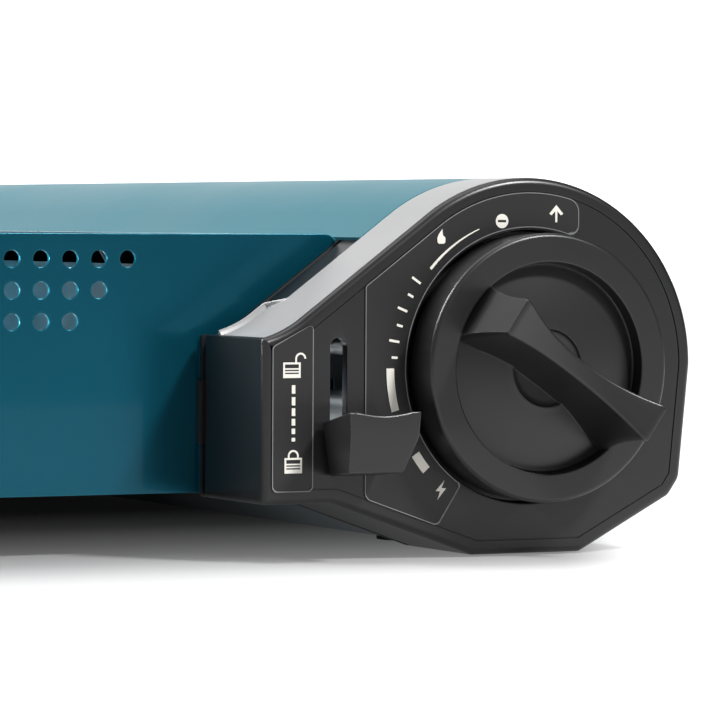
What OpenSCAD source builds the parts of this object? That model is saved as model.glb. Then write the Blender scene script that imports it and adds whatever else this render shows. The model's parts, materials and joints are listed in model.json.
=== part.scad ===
// Portable single-burner stove that runs on a butane cartridge.
// The design origin is the centre of the control dial on the front plane of the control housing:
// X to the right, Y to the back, Z up. place() then moves every piece so that the origin is at
// the bottom centre of the whole object.

/* [Overall] */
// Width of the stove, side to side
body_w = 345; // [330:1:420]
// Depth of the steel body behind the control housing
body_d = 273; // [262:1:330]
// Radius of the rounded cartridge end, which is also the dial's height above the table
end_r = 40; // [39:0.25:44]
// How far the control housing stands out in front of the steel body
housing_d = 31; // [30:0.5:34]
// Height of the steel body's walls
case_h = 54.8; // [52:0.2:58]
// Height of the left feet, from the table to the steel body
foot_h = 13; // [12:0.5:16]
// Width of the fixed deck between the drip pan and the cover's hinge
deck_w = 12; // [11:0.5:16]
// Thickness of the painted sheet steel
sheet_t = 0.8; // [0.6:0.1:1.2]

/* [Control housing] */
// Slope of the housing's left shoulder, in degrees
slope_a = 41.5; // [38:0.5:45]
// Length of the straight part of the shoulder
slope_len = 21; // [18:0.5:26]
// Radius of the concave foot of the shoulder
foot_curve_r = 47; // [40:1:55]
// Slope where the shoulder ends at the left, in degrees
foot_curve_end_a = 13.6; // [10:1:20]
// Wall of the moulded housing
housing_t = 2.2; // [1.8:0.1:2.6]
// Depth of the round well that the dial sinks into
well_depth = 3.6; // [3.4:0.1:5]
// Height of the housing's straight lower left edge above the steel body's underside
housing_drop = 0.9; // [0:0.1:2]
// Width of the bright trim strip, front to back
trim_w = 22; // [16:0.5:23]
// Width of the front lip of the housing before the trim strip
trim_front = 2; // [1.5:0.1:4]
// Thickness of the label plates
label_t = 0.3; // [0.2:0.05:0.6]

/* [Dial] */
// Radius of the dial's rim
dial_r = 28.4; // [26:0.2:29]
// How far the rim stands out from the housing
dial_h = 9.2; // [8:0.2:11]
// Width of the flat rim
rim_w = 5.8; // [4:0.2:7]
// Depth of the dish inside the rim
dish_depth = 3.1; // [2:0.1:4]
// Length of the finger grip, end to end
grip_len = 40.6; // [36:0.2:42]
// Width of the grip at its ends
grip_end_w = 9.2; // [8:0.2:11]
// Width of the grip at its waist
grip_waist_w = 4; // [3.5:0.1:6]
// How far the grip's ends stand out from the housing
grip_h = 25.6; // [22:0.2:28]
// How much lower the grip's waist is than its ends
grip_saddle = 3.7; // [2:0.1:5]
// Direction of the grip's pointer at rest, in degrees, seen from the front
pointer_a = 145.5; // [140:0.5:150]
// How far the dial is pushed in before it turns
push_travel = 3; // [2:0.1:3.2]
// Radius of the valve spindle
spindle_r = 4; // [3:0.1:4.5]

/* [Lock lever] */
// Distance of the lever's slot to the left of the dial's centre
slot_x = 45; // [44:0.2:47]
// Width of the lever's slot
slot_w = 3.8; // [3.4:0.1:5]
// Thickness of the steel lever arm
arm_t = 2.4; // [1.8:0.1:2.6]
// Distance of the lever's pivot behind the housing's front
pivot_y = 50; // [48:0.5:54]
// Radius of the lever's pivot pin
pivot_pin_r = 2.5; // [2:0.1:3]
// Travel of the lever, in degrees
lever_travel = 19; // [15:0.5:19]
// Distance from the pivot to the crank pin that moves the carriage
crank_len = 20; // [16:0.5:20]
// Radius of the crank pin
crank_pin_r = 1.6; // [1.2:0.1:2]

/* [Cartridge bay] */
// Radius of the gas cartridge that the bay takes
cartridge_r = 34; // [33:0.1:34.5]
// Length of the gas cartridge
cartridge_len = 195; // [185:1:200]
// Distance from the housing's front to the bulkhead behind the regulator
bulkhead_y = 50; // [48:0.5:56]
// Radius of the bore that takes the cartridge's stem
inlet_bore_r = 2.6; // [2:0.1:3]
// Depth of the bore that takes the cartridge's stem
inlet_bore_len = 8; // [6:0.5:9]
// Radius of the cover's hinge pins
hinge_pin_r = 1.2; // [1:0.1:1.4]
// How far below the dial's centre the cover's free edge reaches
cover_drop = 8; // [4:0.5:12]

/* [Burner] */
// Radius of the burner cap
burner_r = 34; // [28:0.5:38]
// Radius of the drip pan's central hole
pan_hole_r = 44; // [42:0.5:50]
// Radius of the drip pan's round dish
pan_dish_r = 114; // [108:1:115]
// Reach of the pan support's arms from the burner's centre
support_reach = 104; // [90:1:106]
// Height of the pan support's top above the steel body's top edge
support_rise = 16.2; // [14:0.2:20]
// Thickness of the pan support's arms
support_t = 2.5; // [2:0.1:3]
// Outer radius of the mixing tube
tube_r = 8; // [6:0.1:8.4]
// Wall of the mixing tube
tube_t = 1; // [0.8:0.1:1.5]
// Diameter of the vent holes in the front panel
vent_d = 3.6; // [3:0.1:4.2]
// Distance between vent holes
vent_pitch = 6.55; // [6:0.05:7]

/* [Clearances] */
// Radial clearance of a pin or shaft in its bore
run_fit = 0.05; // [0.02:0.01:0.1]
// Gap between a fixed piece and a piece that moves past it
move_gap = 0.4; // [0.35:0.05:0.6]
// Gap between fixed pieces that lie next to each other
lay_gap = 0.05; // [0.03:0.01:0.1]

/* [Hidden] */
$fn = 96;
tiny = 0.01;

// Main planes of the steel body
x_left = end_r - body_w;
y_panel = housing_d;
y_back = housing_d + body_d;
z_table = -end_r;
z_bottom = z_table + foot_h;
z_top = z_bottom + case_h;
z_support = z_top + support_rise;

// Shoulder of the housing: round end, straight slope, concave foot
tangent = [-end_r * sin(slope_a), end_r * cos(slope_a)];
slope_end = tangent - slope_len * [cos(slope_a), sin(slope_a)];
foot_run = foot_curve_r * (sin(slope_a) - sin(foot_curve_end_a));
foot_fall = foot_curve_r * (cos(foot_curve_end_a) - cos(slope_a));
shoulder_end = slope_end - [foot_run, foot_fall];
x_housing = shoulder_end[0];
z_housing_low = z_bottom - housing_drop;
z_housing_bottom = z_table + 0.4;

// Bay between the burner's compartment and the round end
bay_inset = sheet_t + move_gap;
x_bay = -end_r + 6;
cartridge_c = [2, -0.5];
y_stop = bulkhead_y + 3;
x_regulator_side = -20;
z_chamfer_x = -13;

// Hinge of the cover, in the corner between the body's top and the shoulder
barrel_r = hinge_pin_r + 1.1;
hinge_c = [slope_x(z_top) - 3.6, z_top - 2.7];
hinge_len = 5;
hinge_ys = [y_panel + 12, y_back - 24];

// Burner in the middle of its compartment
x_rim = hinge_c[0] - barrel_r - 1.2 - deck_w;
burner_c = [(x_left + x_rim) / 2, (y_panel + y_back) / 2];
chamber_r = 24;
z_tube = -14;
jet_p = [-22, y_panel + 9];
tube_a = atan2(burner_c[1] - jet_p[1], burner_c[0] - jet_p[0]);
tube_len = norm(burner_c - jet_p) - chamber_r + 3;
ledge_w = 6;
rim_top_w = 5;
z_ledge = z_top - 2.8;
pan_t = 0.8;
z_dish = z_ledge - 6.2;

// Dial, spindle, cam and igniter
well_r = dial_r + 0.5;
well_t = 2.4;
y_well_back = well_depth + well_t;
hub_r = spindle_r + 2.4;
y_skirt_end = well_depth - push_travel - 0.3;
y_dish_under = -dial_h + dish_depth + 2.2;
y_cam = y_well_back + 0.8;
cam_w = 6;
cam_rest_r = 8.2;
cam_rise = 0.026;
cam_first_a = -45;
cam_last_a = 82;
igniter_r = 4.8;
igniter_y = y_well_back + 0.8 + igniter_r;
plunger_r = 2.2;
y_regulator = igniter_y + igniter_r + 1.1;
regulator_r = 19;
regulator_len = 20;
spring_r = hub_r + 2;
spring_wire_r = 0.55;
washer_t = 0.6;

// Lever: pivot in the dial's horizontal plane
pivot_z = 0;
arm_front_low = -18.2;
arm_front_high = -12.2;
lug_x = -slot_x + 5;

function unit(v) = v / norm(v);
function slope_x(z) = tangent[0] - (tangent[1] - z) / tan(slope_a);
function arc_points(c, r, a0, a1, n) =
    [for (i = [0:n]) c + r * [cos(a0 + (a1 - a0) * i / n), sin(a0 + (a1 - a0) * i / n)]];

// A corner p1 between p0 and p2, as an arc of radius r
function corner(p0, p1, p2, r) =
    r <= 0 ? [p1] :
    let (u = unit(p0 - p1), v = unit(p2 - p1), half = acos(u * v) / 2,
         c = p1 + unit(u + v) * r / sin(half), a = p1 + u * r / tan(half) - c,
         side = sign(u[1] * v[0] - u[0] * v[1]), n = 6)
    [for (i = [0:n]) let (t = side * (180 - 2 * half) * i / n)
        c + [a[0] * cos(t) - a[1] * sin(t), a[0] * sin(t) + a[1] * cos(t)]];

// An outline of [x, y, corner radius]
function rounded(pts) = let (n = len(pts)) [for (i = [0:n - 1])
    each corner(flat(pts[(i + n - 1) % n]), flat(pts[i]), flat(pts[(i + 1) % n]), pts[i][2])];
function flat(p) = [p[0], p[1]];

// A counter-clockwise outline moved inwards by d
function inset(p, d) = let (n = len(p)) [for (i = [0:n - 1])
    let (u = unit(p[i] - p[(i + n - 1) % n]), v = unit(p[(i + 1) % n] - p[i]),
         nu = [-u[1], u[0]], nv = [-v[1], v[0]])
    p[i] + (nu + nv) * d / (1 + nu * nv)];

// Front view of the control housing
housing_outline = concat(
    arc_points([0, 0], end_r, 0, 90 + slope_a, 48),
    [for (i = [0:12]) let (s = slope_a + (foot_curve_end_a - slope_a) * i / 12)
        slope_end - foot_curve_r * [sin(slope_a) - sin(s), cos(s) - cos(slope_a)]],
    [[x_housing, z_housing_low]],
    [[-slot_x - 1, z_housing_low]],
    [[z_chamfer_x, z_housing_bottom]],
    [[13, z_housing_bottom]],
    corner([13, z_housing_bottom], [end_r - 5, z_table + 11.9], [end_r - 2.4, z_table + 15.6], 3),
    [[end_r - 2.4, z_table + 15.6]]);

module place() { translate([body_w / 2 - end_r, (grip_h - y_back) / 2, end_r]) children(); }

// Extrudes a front view, drawn as (X, Z), from y0 to y1
module along_y(y0, y1) { translate([0, y1, 0]) rotate([90, 0, 0]) linear_extrude(y1 - y0) children(); }
// Extrudes a side view, drawn as (Y, Z), from x0 to x1
module along_x(x0, x1) {
    translate([x0, 0, 0]) rotate([90, 0, 90]) linear_extrude(x1 - x0) children();
}
// A cylinder along Y, X or Z, from a start point
module rod_y(p, r, len) { translate(p) rotate([-90, 0, 0]) cylinder(r = r, h = len); }
module rod_x(p, r, len) { translate(p) rotate([0, 90, 0]) cylinder(r = r, h = len); }
module rod_z(p, r, len) { translate(p) cylinder(r = r, h = len); }
// A box from one corner to the opposite corner
module box(a, b) { translate(a) cube(b - a); }
module hollow_rod_z(p, r_out, r_in, len) {
    translate(p) difference() {
        cylinder(r = r_out, h = len);
        translate([0, 0, -1]) cylinder(r = r_in, h = len + 2);
    }
}

// ---- Steel body ----

module vent_grid() {
    // Three rows, each one hole shorter than the row above it
    first_x = x_housing - 16.8;
    for (row = [0:2], col = [row:11])
        translate([first_x - col * vent_pitch, z_top - 5.3 - row * vent_pitch])
            circle(d = vent_d, $fn = 32);
}

module front_wall_shape() {
    corner_x = slope_x(z_top) - (sheet_t + 0.3) / sin(slope_a);
    polygon(rounded([[x_left, z_bottom, 0], [corner_x - 6, z_bottom, 0], [corner_x - 6, z_top - 12, 0],
        [corner_x, z_top - 5, 0], [corner_x, z_top, 2.2], [x_left, z_top, 0]]));
}

module case_body() {
    color([0.04, 0.25, 0.33]) {
        along_y(y_panel, y_panel + sheet_t) difference() {
            front_wall_shape();
            vent_grid();
            translate([x_housing + 5, z_bottom + 1.4]) square([x_bay - x_housing, 26]);
            translate([-slot_x - 3.2, -1]) square([6.4, 12]);
            for (p = housing_screw_places()) translate(p) circle(r = 1.7);
        }
        box([x_left, y_panel + sheet_t, z_bottom], [x_left + sheet_t, y_back - sheet_t, z_top]);
        along_y(y_back - sheet_t, y_back) difference() {
            translate([x_left, z_bottom]) square([x_bay - x_left, case_h]);
            for (row = [0:1], col = [0:11])
                translate([burner_c[0] + (col - 5.5) * 2 * vent_pitch, z_top - 14 - row * 10])
                    circle(d = 5, $fn = 32);
        }
        rim_ring(0, rim_top_w, z_top - sheet_t, z_top);
        box([x_rim - tiny, y_panel + sheet_t, z_top - sheet_t],
            [x_rim + deck_w, y_back - sheet_t, z_top]);
        rim_ring(rim_top_w - sheet_t, rim_top_w, z_ledge - sheet_t, z_top - sheet_t);
        rim_ring(rim_top_w, rim_top_w + ledge_w, z_ledge - sheet_t, z_ledge);
    }
}

module rim_ring(from, to, z0, z1) {
    translate([0, 0, z0]) linear_extrude(z1 - z0) difference() {
        translate([x_left + sheet_t + from, y_panel + sheet_t + from])
            square([x_rim - x_left - sheet_t - 2 * from, body_d - 2 * sheet_t - 2 * from]);
        translate([x_left + sheet_t + to, y_panel + sheet_t + to])
            square([x_rim - x_left - sheet_t - 2 * to, body_d - 2 * sheet_t - 2 * to]);
    }
}

module base_plate() {
    color([0.55, 0.57, 0.58]) translate([0, 0, z_bottom]) linear_extrude(sheet_t) difference() {
        translate([x_left + sheet_t + lay_gap, y_panel + sheet_t + lay_gap])
            square([x_bay - x_left - sheet_t - 2 * lay_gap, body_d - 2 * sheet_t - 2 * lay_gap]);
        for (i = [-3:3]) translate([burner_c[0] + i * 16 - 3, burner_c[1] - 95]) square([6, 40]);
        for (i = [-3:3]) translate([burner_c[0] + i * 16 - 3, burner_c[1] + 55]) square([6, 40]);
    }
}

module bay_band(outer, inner) {
    difference() {
        polygon(inset(housing_outline, outer));
        polygon(inset(housing_outline, inner));
    }
}

// Part of the front view that belongs to the cartridge bay, up to a height
module bay_window(z_high) { translate([x_bay, -2 * end_r]) square([3 * end_r, 2 * end_r + z_high]); }

module bay_tray() {
    color([0.04, 0.25, 0.33]) along_y(y_panel + lay_gap, y_back - 2 * sheet_t) intersection() {
        bay_band(bay_inset, bay_inset + sheet_t);
        bay_window(0);
    }
}

module bay_end_plate() {
    color([0.04, 0.25, 0.33]) along_y(y_back - 2 * sheet_t + lay_gap, y_back - sheet_t) intersection() {
        polygon(inset(housing_outline, bay_inset));
        translate([x_bay + lay_gap, -2 * end_r]) square([3 * end_r, 4 * end_r]);
        polygon([[x_bay, -2 * end_r], [3 * end_r, -2 * end_r], [3 * end_r, 2 * end_r],
            [hinge_c[0] + 9, 2 * end_r], [hinge_c[0] + 9, hinge_c[1] - 4], [x_bay, hinge_c[1] - 4]]);
    }
}

// Lowest point of the tray's inside at the bay's left wall
function chamfer_z(x) = z_housing_low + (z_housing_bottom - z_housing_low)
    * (x + slot_x + 1) / (z_chamfer_x + slot_x + 1);
z_partition_low = chamfer_z(x_bay) + (bay_inset + sheet_t) * 1.1 + 1.2;

module partition() {
    color([0.62, 0.64, 0.65]) difference() {
        box([x_bay + lay_gap, bulkhead_y + sheet_t + lay_gap, z_partition_low],
            [x_bay + sheet_t, y_back - 2 * sheet_t - lay_gap, hinge_c[1] - barrel_r - 2.5]);
        // Way through for the mixing tube
        box([x_bay - 1, bulkhead_y - 1, z_tube - tube_r - 2],
            [x_bay + 2, bulkhead_y + 16, z_tube + tube_r + 2]);
        // Way through for the heat plate
        box([x_bay - 1, burner_c[1] - 19, z_heat - 1], [x_bay + 2, burner_c[1] + 19, z_heat + 2.4]);
        // Slot for the carriage's tab
        box([x_bay - 1, tab_y - 3, z_tab - 1.2], [x_bay + 2, tab_y + tab_len + 10, z_tab + 2.4]);
    }
}

module bulkhead() {
    color([0.62, 0.64, 0.65]) {
        along_y(bulkhead_y, bulkhead_y + sheet_t) difference() {
            intersection() {
                polygon(inset(housing_outline, bay_inset + sheet_t + lay_gap));
                translate([x_bay + lay_gap, -2 * end_r]) square([3 * end_r,
                    2 * end_r + hinge_c[1] - 5]);
            }
            translate(cartridge_c) circle(r = boss_r + 0.3);
            translate([x_bay - 1, z_tube - tube_r - 2]) square([x_regulator_side - x_bay,
                2 * tube_r + 4]);
        }
        // Key for the notch in the cartridge's collar
        box([cartridge_c[0] - 2, bulkhead_y + sheet_t, cartridge_c[1] + 13],
            [cartridge_c[0] + 2, bulkhead_y + sheet_t + 4, cartridge_c[1] + 14.2]);
    }
}

// ---- Feet ----

foot_in = 22;
left_foot_x = x_left + foot_in;
module tall_foot(p) {
    color([0.07, 0.07, 0.07]) difference() {
        translate([p[0], p[1], z_table]) rotate_extrude() polygon([[0, 0], [7.5, 0], [8.5, 1],
            [9.5, foot_h - 1.2], [9.5, foot_h], [0, foot_h]]);
        rod_z([p[0], p[1], z_table + 3], 1.5 + run_fit, foot_h);
        rod_z([p[0], p[1], z_table - 1], 3.4, 4);
    }
}
module flat_foot(p) {
    color([0.07, 0.07, 0.07]) translate([p[0], p[1], z_table])
        cylinder(r = 8, h = z_housing_bottom + bay_inset - z_table);
}
module foot_front_left() { tall_foot([left_foot_x, y_panel + foot_in]); }
module foot_rear_left() { tall_foot([left_foot_x, y_back - foot_in]); }
module foot_front_right() { flat_foot([0, y_panel + foot_in]); }
module foot_rear_right() { flat_foot([0, y_back - foot_in]); }
module foot_screws() {
    color([0.6, 0.61, 0.62]) for (y = [y_panel + foot_in, y_back - foot_in]) {
        rod_z([left_foot_x, y, z_table + 1.2], 3.2, 1.8);
        rod_z([left_foot_x, y, z_table + 3], 1.5, foot_h - 3);
    }
}

// ---- Control housing ----

function housing_screw_places() = [[x_housing + 3.2 + housing_t, z_bottom + 6],
    [x_housing + 3.2 + housing_t, -3], [x_bay - 4, z_bottom + 32.5]];

module trim_zone(d) {
    // Band along the shoulder and the round end, from the left end to just below the dial's centre
    intersection() {
        difference() {
            polygon(inset(housing_outline, -2));
            polygon(inset(housing_outline, d));
        }
        translate([x_housing + 0.9, -5]) square([3 * end_r, 2 * end_r]);
    }
}

// Front view of the housing's outside: behind the front lip it steps in under the trim strip,
// and at the back under the cover's front edge
module housing_shape(step) {
    difference() {
        polygon(housing_outline);
        if (step > 0) trim_zone(sheet_t + lay_gap);
        if (step > 1) intersection() {
            difference() {
                polygon(inset(housing_outline, -3));
                polygon(inset(housing_outline, bay_inset));
            }
            translate([slope_x(z_top) - 4, -cover_drop - 2]) square([3 * end_r, 3 * end_r]);
        }
        // Room for the cover's hinge side
        if (step > 1) translate([x_bay - 4, hinge_c[1] - barrel_r - 1])
            square([slope_x(z_top) + 2.2 - x_bay + 4, 2 * end_r]);
    }
}
module housing_wall(step) {
    difference() {
        housing_shape(step);
        polygon(inset(housing_outline, housing_t + 0.6));
    }
}

module control_housing() {
    y_cover_seat = trim_front + trim_w;
    color([0.16, 0.16, 0.17]) difference() {
        union() {
            along_y(0, trim_front) difference() { housing_shape(0); lever_slot(); }
            along_y(trim_front, housing_t) difference() { housing_shape(1); lever_slot(); }
            along_y(housing_t, y_cover_seat) housing_wall(1);
            along_y(y_cover_seat, housing_d) housing_wall(2);
            rod_y([0, housing_t - 1, 0], well_r + 2, y_well_back - housing_t + 1);
            for (p = housing_screw_places()) rod_y([p[0], housing_t - 1, p[1]], 3,
                housing_d - housing_t + 1 - lay_gap);
        }
        rod_y([0, -1, 0], well_r, well_depth + 1);
        rod_y([0, -1, 0], hub_r + 0.6, 12);
        for (p = housing_screw_places()) rod_y([p[0], housing_d - 10, p[1]], 1.2 + run_fit, 11);
    }
}

module lever_slot() {
    slot_top = 6.5;
    translate([-slot_x, slot_top - slot_w / 2]) circle(d = slot_w);
    translate([-slot_x - slot_w / 2, arm_front_low - 1.2])
        square([slot_w, slot_top - slot_w / 2 - arm_front_low + 1.2]);
}

module housing_screws() {
    color([0.6, 0.61, 0.62]) for (p = housing_screw_places()) {
        rod_y([p[0], housing_d - 8, p[1]], 1.2, 8 + sheet_t);
        rod_y([p[0], housing_d + sheet_t, p[1]], 2.8, 1.6);
    }
}

module silver_trim() {
    color([0.78, 0.79, 0.8]) {
        along_y(trim_front + lay_gap, trim_front + trim_w) intersection() {
            difference() {
                polygon(housing_outline);
                polygon(inset(housing_outline, sheet_t));
            }
            translate([x_housing + 1, -4.9]) square([2 * end_r + 30, 2 * end_r]);
        }
        // Raised rear lip on the concave foot of the shoulder
        along_y(trim_front + trim_w - 0.9, trim_front + trim_w) intersection() {
            difference() {
                polygon(inset(housing_outline, -1));
                polygon(inset(housing_outline, 0.2));
            }
            translate([x_housing + 1, 0]) square([15, end_r]);
        }
    }
}

module lock_label_shape() {
    polygon(rounded([[-60.4, -25.3, 1.2], [-51, -25.3, 1.2], [-51, 9.5, 0.8], [-60.4, 4.8, 1]]));
}
module lock_label() { color([0.2, 0.2, 0.21]) along_y(-label_t, 0) lock_label_shape(); }

label_inset = 3.1;
module dial_label_shape() {
    difference() {
        intersection() {
            polygon(inset(housing_outline, label_inset));
            polygon(rounded([[-39.9, -26.4, 1.8], [-21.8, -33.4, 1], [11.8, 20, 0], [11.8, 34, 3],
                [9, 40, 0], [-30, 40, 0], [-38.5, 20, 0], [-39, -6, 0]]));
        }
        circle(r = well_r + 0.6);
        // Stray tip between the round well and the label's lower edge
        polygon([[-16.4, -24.2], [-21.8, -33.6], [10, -40], [40, 0], [11.6, 26.4], [0, 0]]);
    }
}
module dial_label() { color([0.2, 0.2, 0.21]) along_y(-label_t, 0) dial_label_shape(); }

// Padlock sign: a lined body under a shackle, swung aside when open
module padlock(c, open) {
    body = [4, 3.2];
    stroke = 0.4;
    shackle_r = 1.25;
    leg = open ? 0.8 : 0.45;
    translate(c) {
        difference() {
            translate([-body[0] / 2, -body[1] / 2]) square(body);
            for (line = [[0.8, 0.3], [1.4, 0.3], [2, 0.8]])
                translate([-body[0] / 2 + stroke, -body[1] / 2 + line[0]])
                    square([body[0] - 2 * stroke, line[1]]);
        }
        translate([open ? 2 : 0, body[1] / 2 + leg - 0.05]) {
            intersection() {
                difference() {
                    circle(r = shackle_r, $fn = 32);
                    circle(r = shackle_r - stroke, $fn = 32);
                }
                translate([-2, 0]) square([4, 2]);
            }
            translate([-shackle_r, -leg]) square([stroke, leg + 0.05]);
            if (!open) translate([shackle_r - stroke, -leg]) square([stroke, leg + 0.05]);
        }
    }
}

// Lock positions and the dashed line between them, its dashes shorter toward the locked end
module lock_icons() {
    dashes = 6;
    dash_w = 0.8;
    color([0.88, 0.87, 0.82]) along_y(-label_t - 0.08, -label_t) {
        padlock([-56, -0.1], true);
        padlock([-55.6, -19.8], false);
        for (i = [0:dashes - 1]) let (len = 1.75 - 0.04 * i * i, z = -3.2 - i * (2.52 - 0.07 * i))
            translate([-56, z - len]) square([dash_w, len]);
    }
}

// Part of a ring between two directions, growing from one width to another
module swept_band(r, a0, a1, w0, w1) {
    n = 20;
    polygon(concat(
        [for (i = [0:n]) let (t = i / n, a = a0 + (a1 - a0) * t)
            (r + (w0 + (w1 - w0) * t) / 2) * [cos(a), sin(a)]],
        [for (i = [n:-1:0]) let (t = i / n,
            a = a0 + (a1 - a0) * t) (r - (w0 + (w1 - w0) * t) / 2) * [cos(a), sin(a)]]));
}

module dial_icons() {
    mark_r = 32.6;
    color([0.88, 0.87, 0.82]) along_y(-label_t - 0.08, -label_t) {
        // Flame
        translate([-21.3, 27.2]) polygon(rounded([[-0.9, -1.2, 0.5], [0.9, -1.2, 0.5],
            [0.9, 0.1, 0.3], [0.3, 0.6, 0],
            [0.2, 1.9, 0], [-0.6, 0.9, 0.2], [-1, 0, 0.3]]));
        // Off mark
        translate([-6.9, 30.8]) difference() {
            circle(r = 1.5, $fn = 32);
            translate([-1, -0.25]) square([2, 0.5]);
        }
        // Arrow
        translate([6.2, 32.4]) {
            translate([-0.25, -1.8]) square([0.5, 3]);
            polygon([[0, 1.9], [-1.7, 0], [-1.1, -0.3], [0, 0.9], [1.1, -0.3], [1.7, 0]]);
        }
        // Flame size scale
        swept_band(31.6, 113, 139, 0.2, 0.6);
        // Tick marks that stand in for the written legend
        for (a = [146:6:176]) rotate(a) translate([mark_r - 1, -0.25])
            square([a % 12 == 2 ? 2.4 : 1.4, 0.5]);
        swept_band(33.2, 180, 195.6, 1.8, 1.8);
        swept_band(32.6, 213.5, 221, 2, 2);
        // Spark
        translate([-21.2, -25.6]) polygon([[0.9, 2], [-1.2, -0.2], [-0.1, -0.3], [-0.8, -2.1],
            [1.3, 0.3], [0.2, 0.4]]);
    }
}

// ---- Dial and ignition ----

module dial_skirt_profile() {
    dish_r = dial_r - rim_w;
    polygon([[hub_r, y_dish_under], [hub_r - 1, y_dish_under], [0, y_dish_under], [0, -dial_h + 1.6],
        [7, -dial_h + 1.5], [8.4, -dial_h + 1], [dish_r - 1.2, -dial_h + dish_depth],
        [dish_r, -dial_h], [dial_r - 1.9, -dial_h], [dial_r - 0.6, -dial_h + 0.5],
            [dial_r, -dial_h + 1.9],
        [dial_r - 0.5, y_skirt_end], [dial_r - 2.5, y_skirt_end], [dial_r - 2.5, y_dish_under]]);
}

// Revolves a profile of (radius, Y) about the dial's axis
module turned_y() { rotate([-90, 0, 0]) rotate_extrude() children(); }

function grip_half_w(u) = grip_waist_w / 2
    + (grip_end_w - grip_waist_w) / 2 * pow(abs(u) / (grip_len / 2 - 1.5), 2.2);

module grip_shape() {
    n = 24;
    u_end = grip_len / 2 - 1.2;
    polygon(concat(
        [for (i = [0:n]) let (u = -u_end + 2 * u_end * i / n)
            [u, -min(grip_half_w(u), grip_end_w / 2)]],
        [[grip_len / 2, -grip_end_w / 2 + 1.2], [grip_len / 2, grip_end_w / 2 - 1.2]],
        [for (i = [n:-1:0]) let (u = -u_end + 2 * u_end * i / n)
            [u, min(grip_half_w(u), grip_end_w / 2)]],
        [[-grip_len / 2, grip_end_w / 2 - 1.2], [-grip_len / 2, -grip_end_w / 2 + 1.2]]));
}

module dial_knob() {
    saddle_r = (pow(grip_len / 2, 2) + pow(grip_saddle, 2)) / (2 * grip_saddle);
    color([0.09, 0.09, 0.095]) difference() {
        union() {
            turned_y() dial_skirt_profile();
            rod_y([0, y_dish_under - tiny, 0], hub_r, -y_dish_under + y_skirt_end + 2);
            rotate([0, -pointer_a, 0]) difference() {
                along_y(-grip_h, -dial_h + 2.6) grip_shape();
                translate([0, -grip_h + grip_saddle - saddle_r, -20])
                    cylinder(r = saddle_r, h = 40, $fn = 180);
            }
        }
        rod_y([0, -grip_h + grip_saddle + 5, 0], spindle_r_in_grip() + run_fit, grip_h);
        rod_y([0, -dial_h + 2.6, 0], spindle_r + run_fit, 30);
    }
}
// Radius of the spindle's thin end inside the grip's waist
function spindle_r_in_grip() = grip_waist_w / 2 - 0.9;

module valve_spindle() {
    color([0.72, 0.6, 0.3]) {
        rod_y([0, -grip_h + grip_saddle + 5.2, 0], spindle_r_in_grip(), grip_h - dial_h);
        rod_y([0, -dial_h + 2.8, 0], spindle_r, y_regulator + 12 + dial_h - 2.8);
    }
}

module spring_washer() {
    color([0.7, 0.71, 0.72]) difference() {
        rod_y([0, y_dish_under + 0.1, 0], spring_r + 1.2, washer_t);
        rod_y([0, y_dish_under - 1, 0], hub_r + 0.3, 4);
    }
}

module knob_spring() {
    turns = 4;
    y_start = y_dish_under + 0.1 + washer_t + spring_wire_r + 0.02;
    pitch = (well_depth - 0.02 - spring_wire_r - y_start) / (turns - 1);
    color([0.75, 0.76, 0.77]) for (i = [0:turns - 1]) translate([0, y_start + i * pitch, 0])
        rotate([-90, 0, 0]) rotate_extrude() translate([spring_r, 0])
            circle(r = spring_wire_r, $fn = 24);
}

// Constant-rise spiral: the radius that faces down grows in step with the dial's turn
function cam_radius(turn) = cam_rest_r + cam_rise * turn;
module cam_shape() {
    steps = 32;
    span = cam_last_a - cam_first_a + 24;
    polygon(concat(
        [for (i = [0:steps]) let (turn = cam_first_a - 12 + span * i / steps, a = 270 - turn)
            cam_radius(turn) * [cos(a), sin(a)]],
        arc_points([0, 0], cam_radius(cam_first_a - 12), 246 - cam_last_a, -78 - cam_first_a, 12)));
}
module ignition_cam() {
    color([0.85, 0.84, 0.8]) difference() {
        along_y(y_cam, y_cam + cam_w) cam_shape();
        rod_y([0, y_cam - 1, 0], spindle_r + run_fit / 2, cam_w + 2);
    }
}

z_plunger_top = -cam_rest_r - 0.3;
z_igniter_top = z_plunger_top - 4.4;
z_igniter_low = z_housing_bottom + housing_t + 1.4;
module igniter_body() {
    color([0.85, 0.84, 0.8]) difference() {
        union() {
            rod_z([0, igniter_y, z_igniter_low], igniter_r, z_igniter_top - z_igniter_low);
            box([-igniter_r - 2, igniter_y - 1, z_igniter_low],
                [igniter_r + 2, igniter_y + 1, z_igniter_low + 8]);
        }
        rod_z([0, igniter_y, z_igniter_top - 8], plunger_r + run_fit, 9);
    }
}
module igniter_plunger() {
    color([0.65, 0.12, 0.1]) rod_z([0, igniter_y, z_igniter_top - 4.8], plunger_r,
        z_plunger_top - z_igniter_top + 4.8);
}

// Chain of round segments through given points
module lead(points, r) {
    for (i = [0:len(points) - 2]) let (d = points[i + 1] - points[i], a = acos(d[2] / norm(d)))
        translate(points[i]) {
            rotate([0, a, atan2(d[1], d[0])]) cylinder(r = r, h = norm(d), $fn = 24);
            if (i > 0) sphere(r = r * 1.1, $fn = 24);
        }
}

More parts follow.
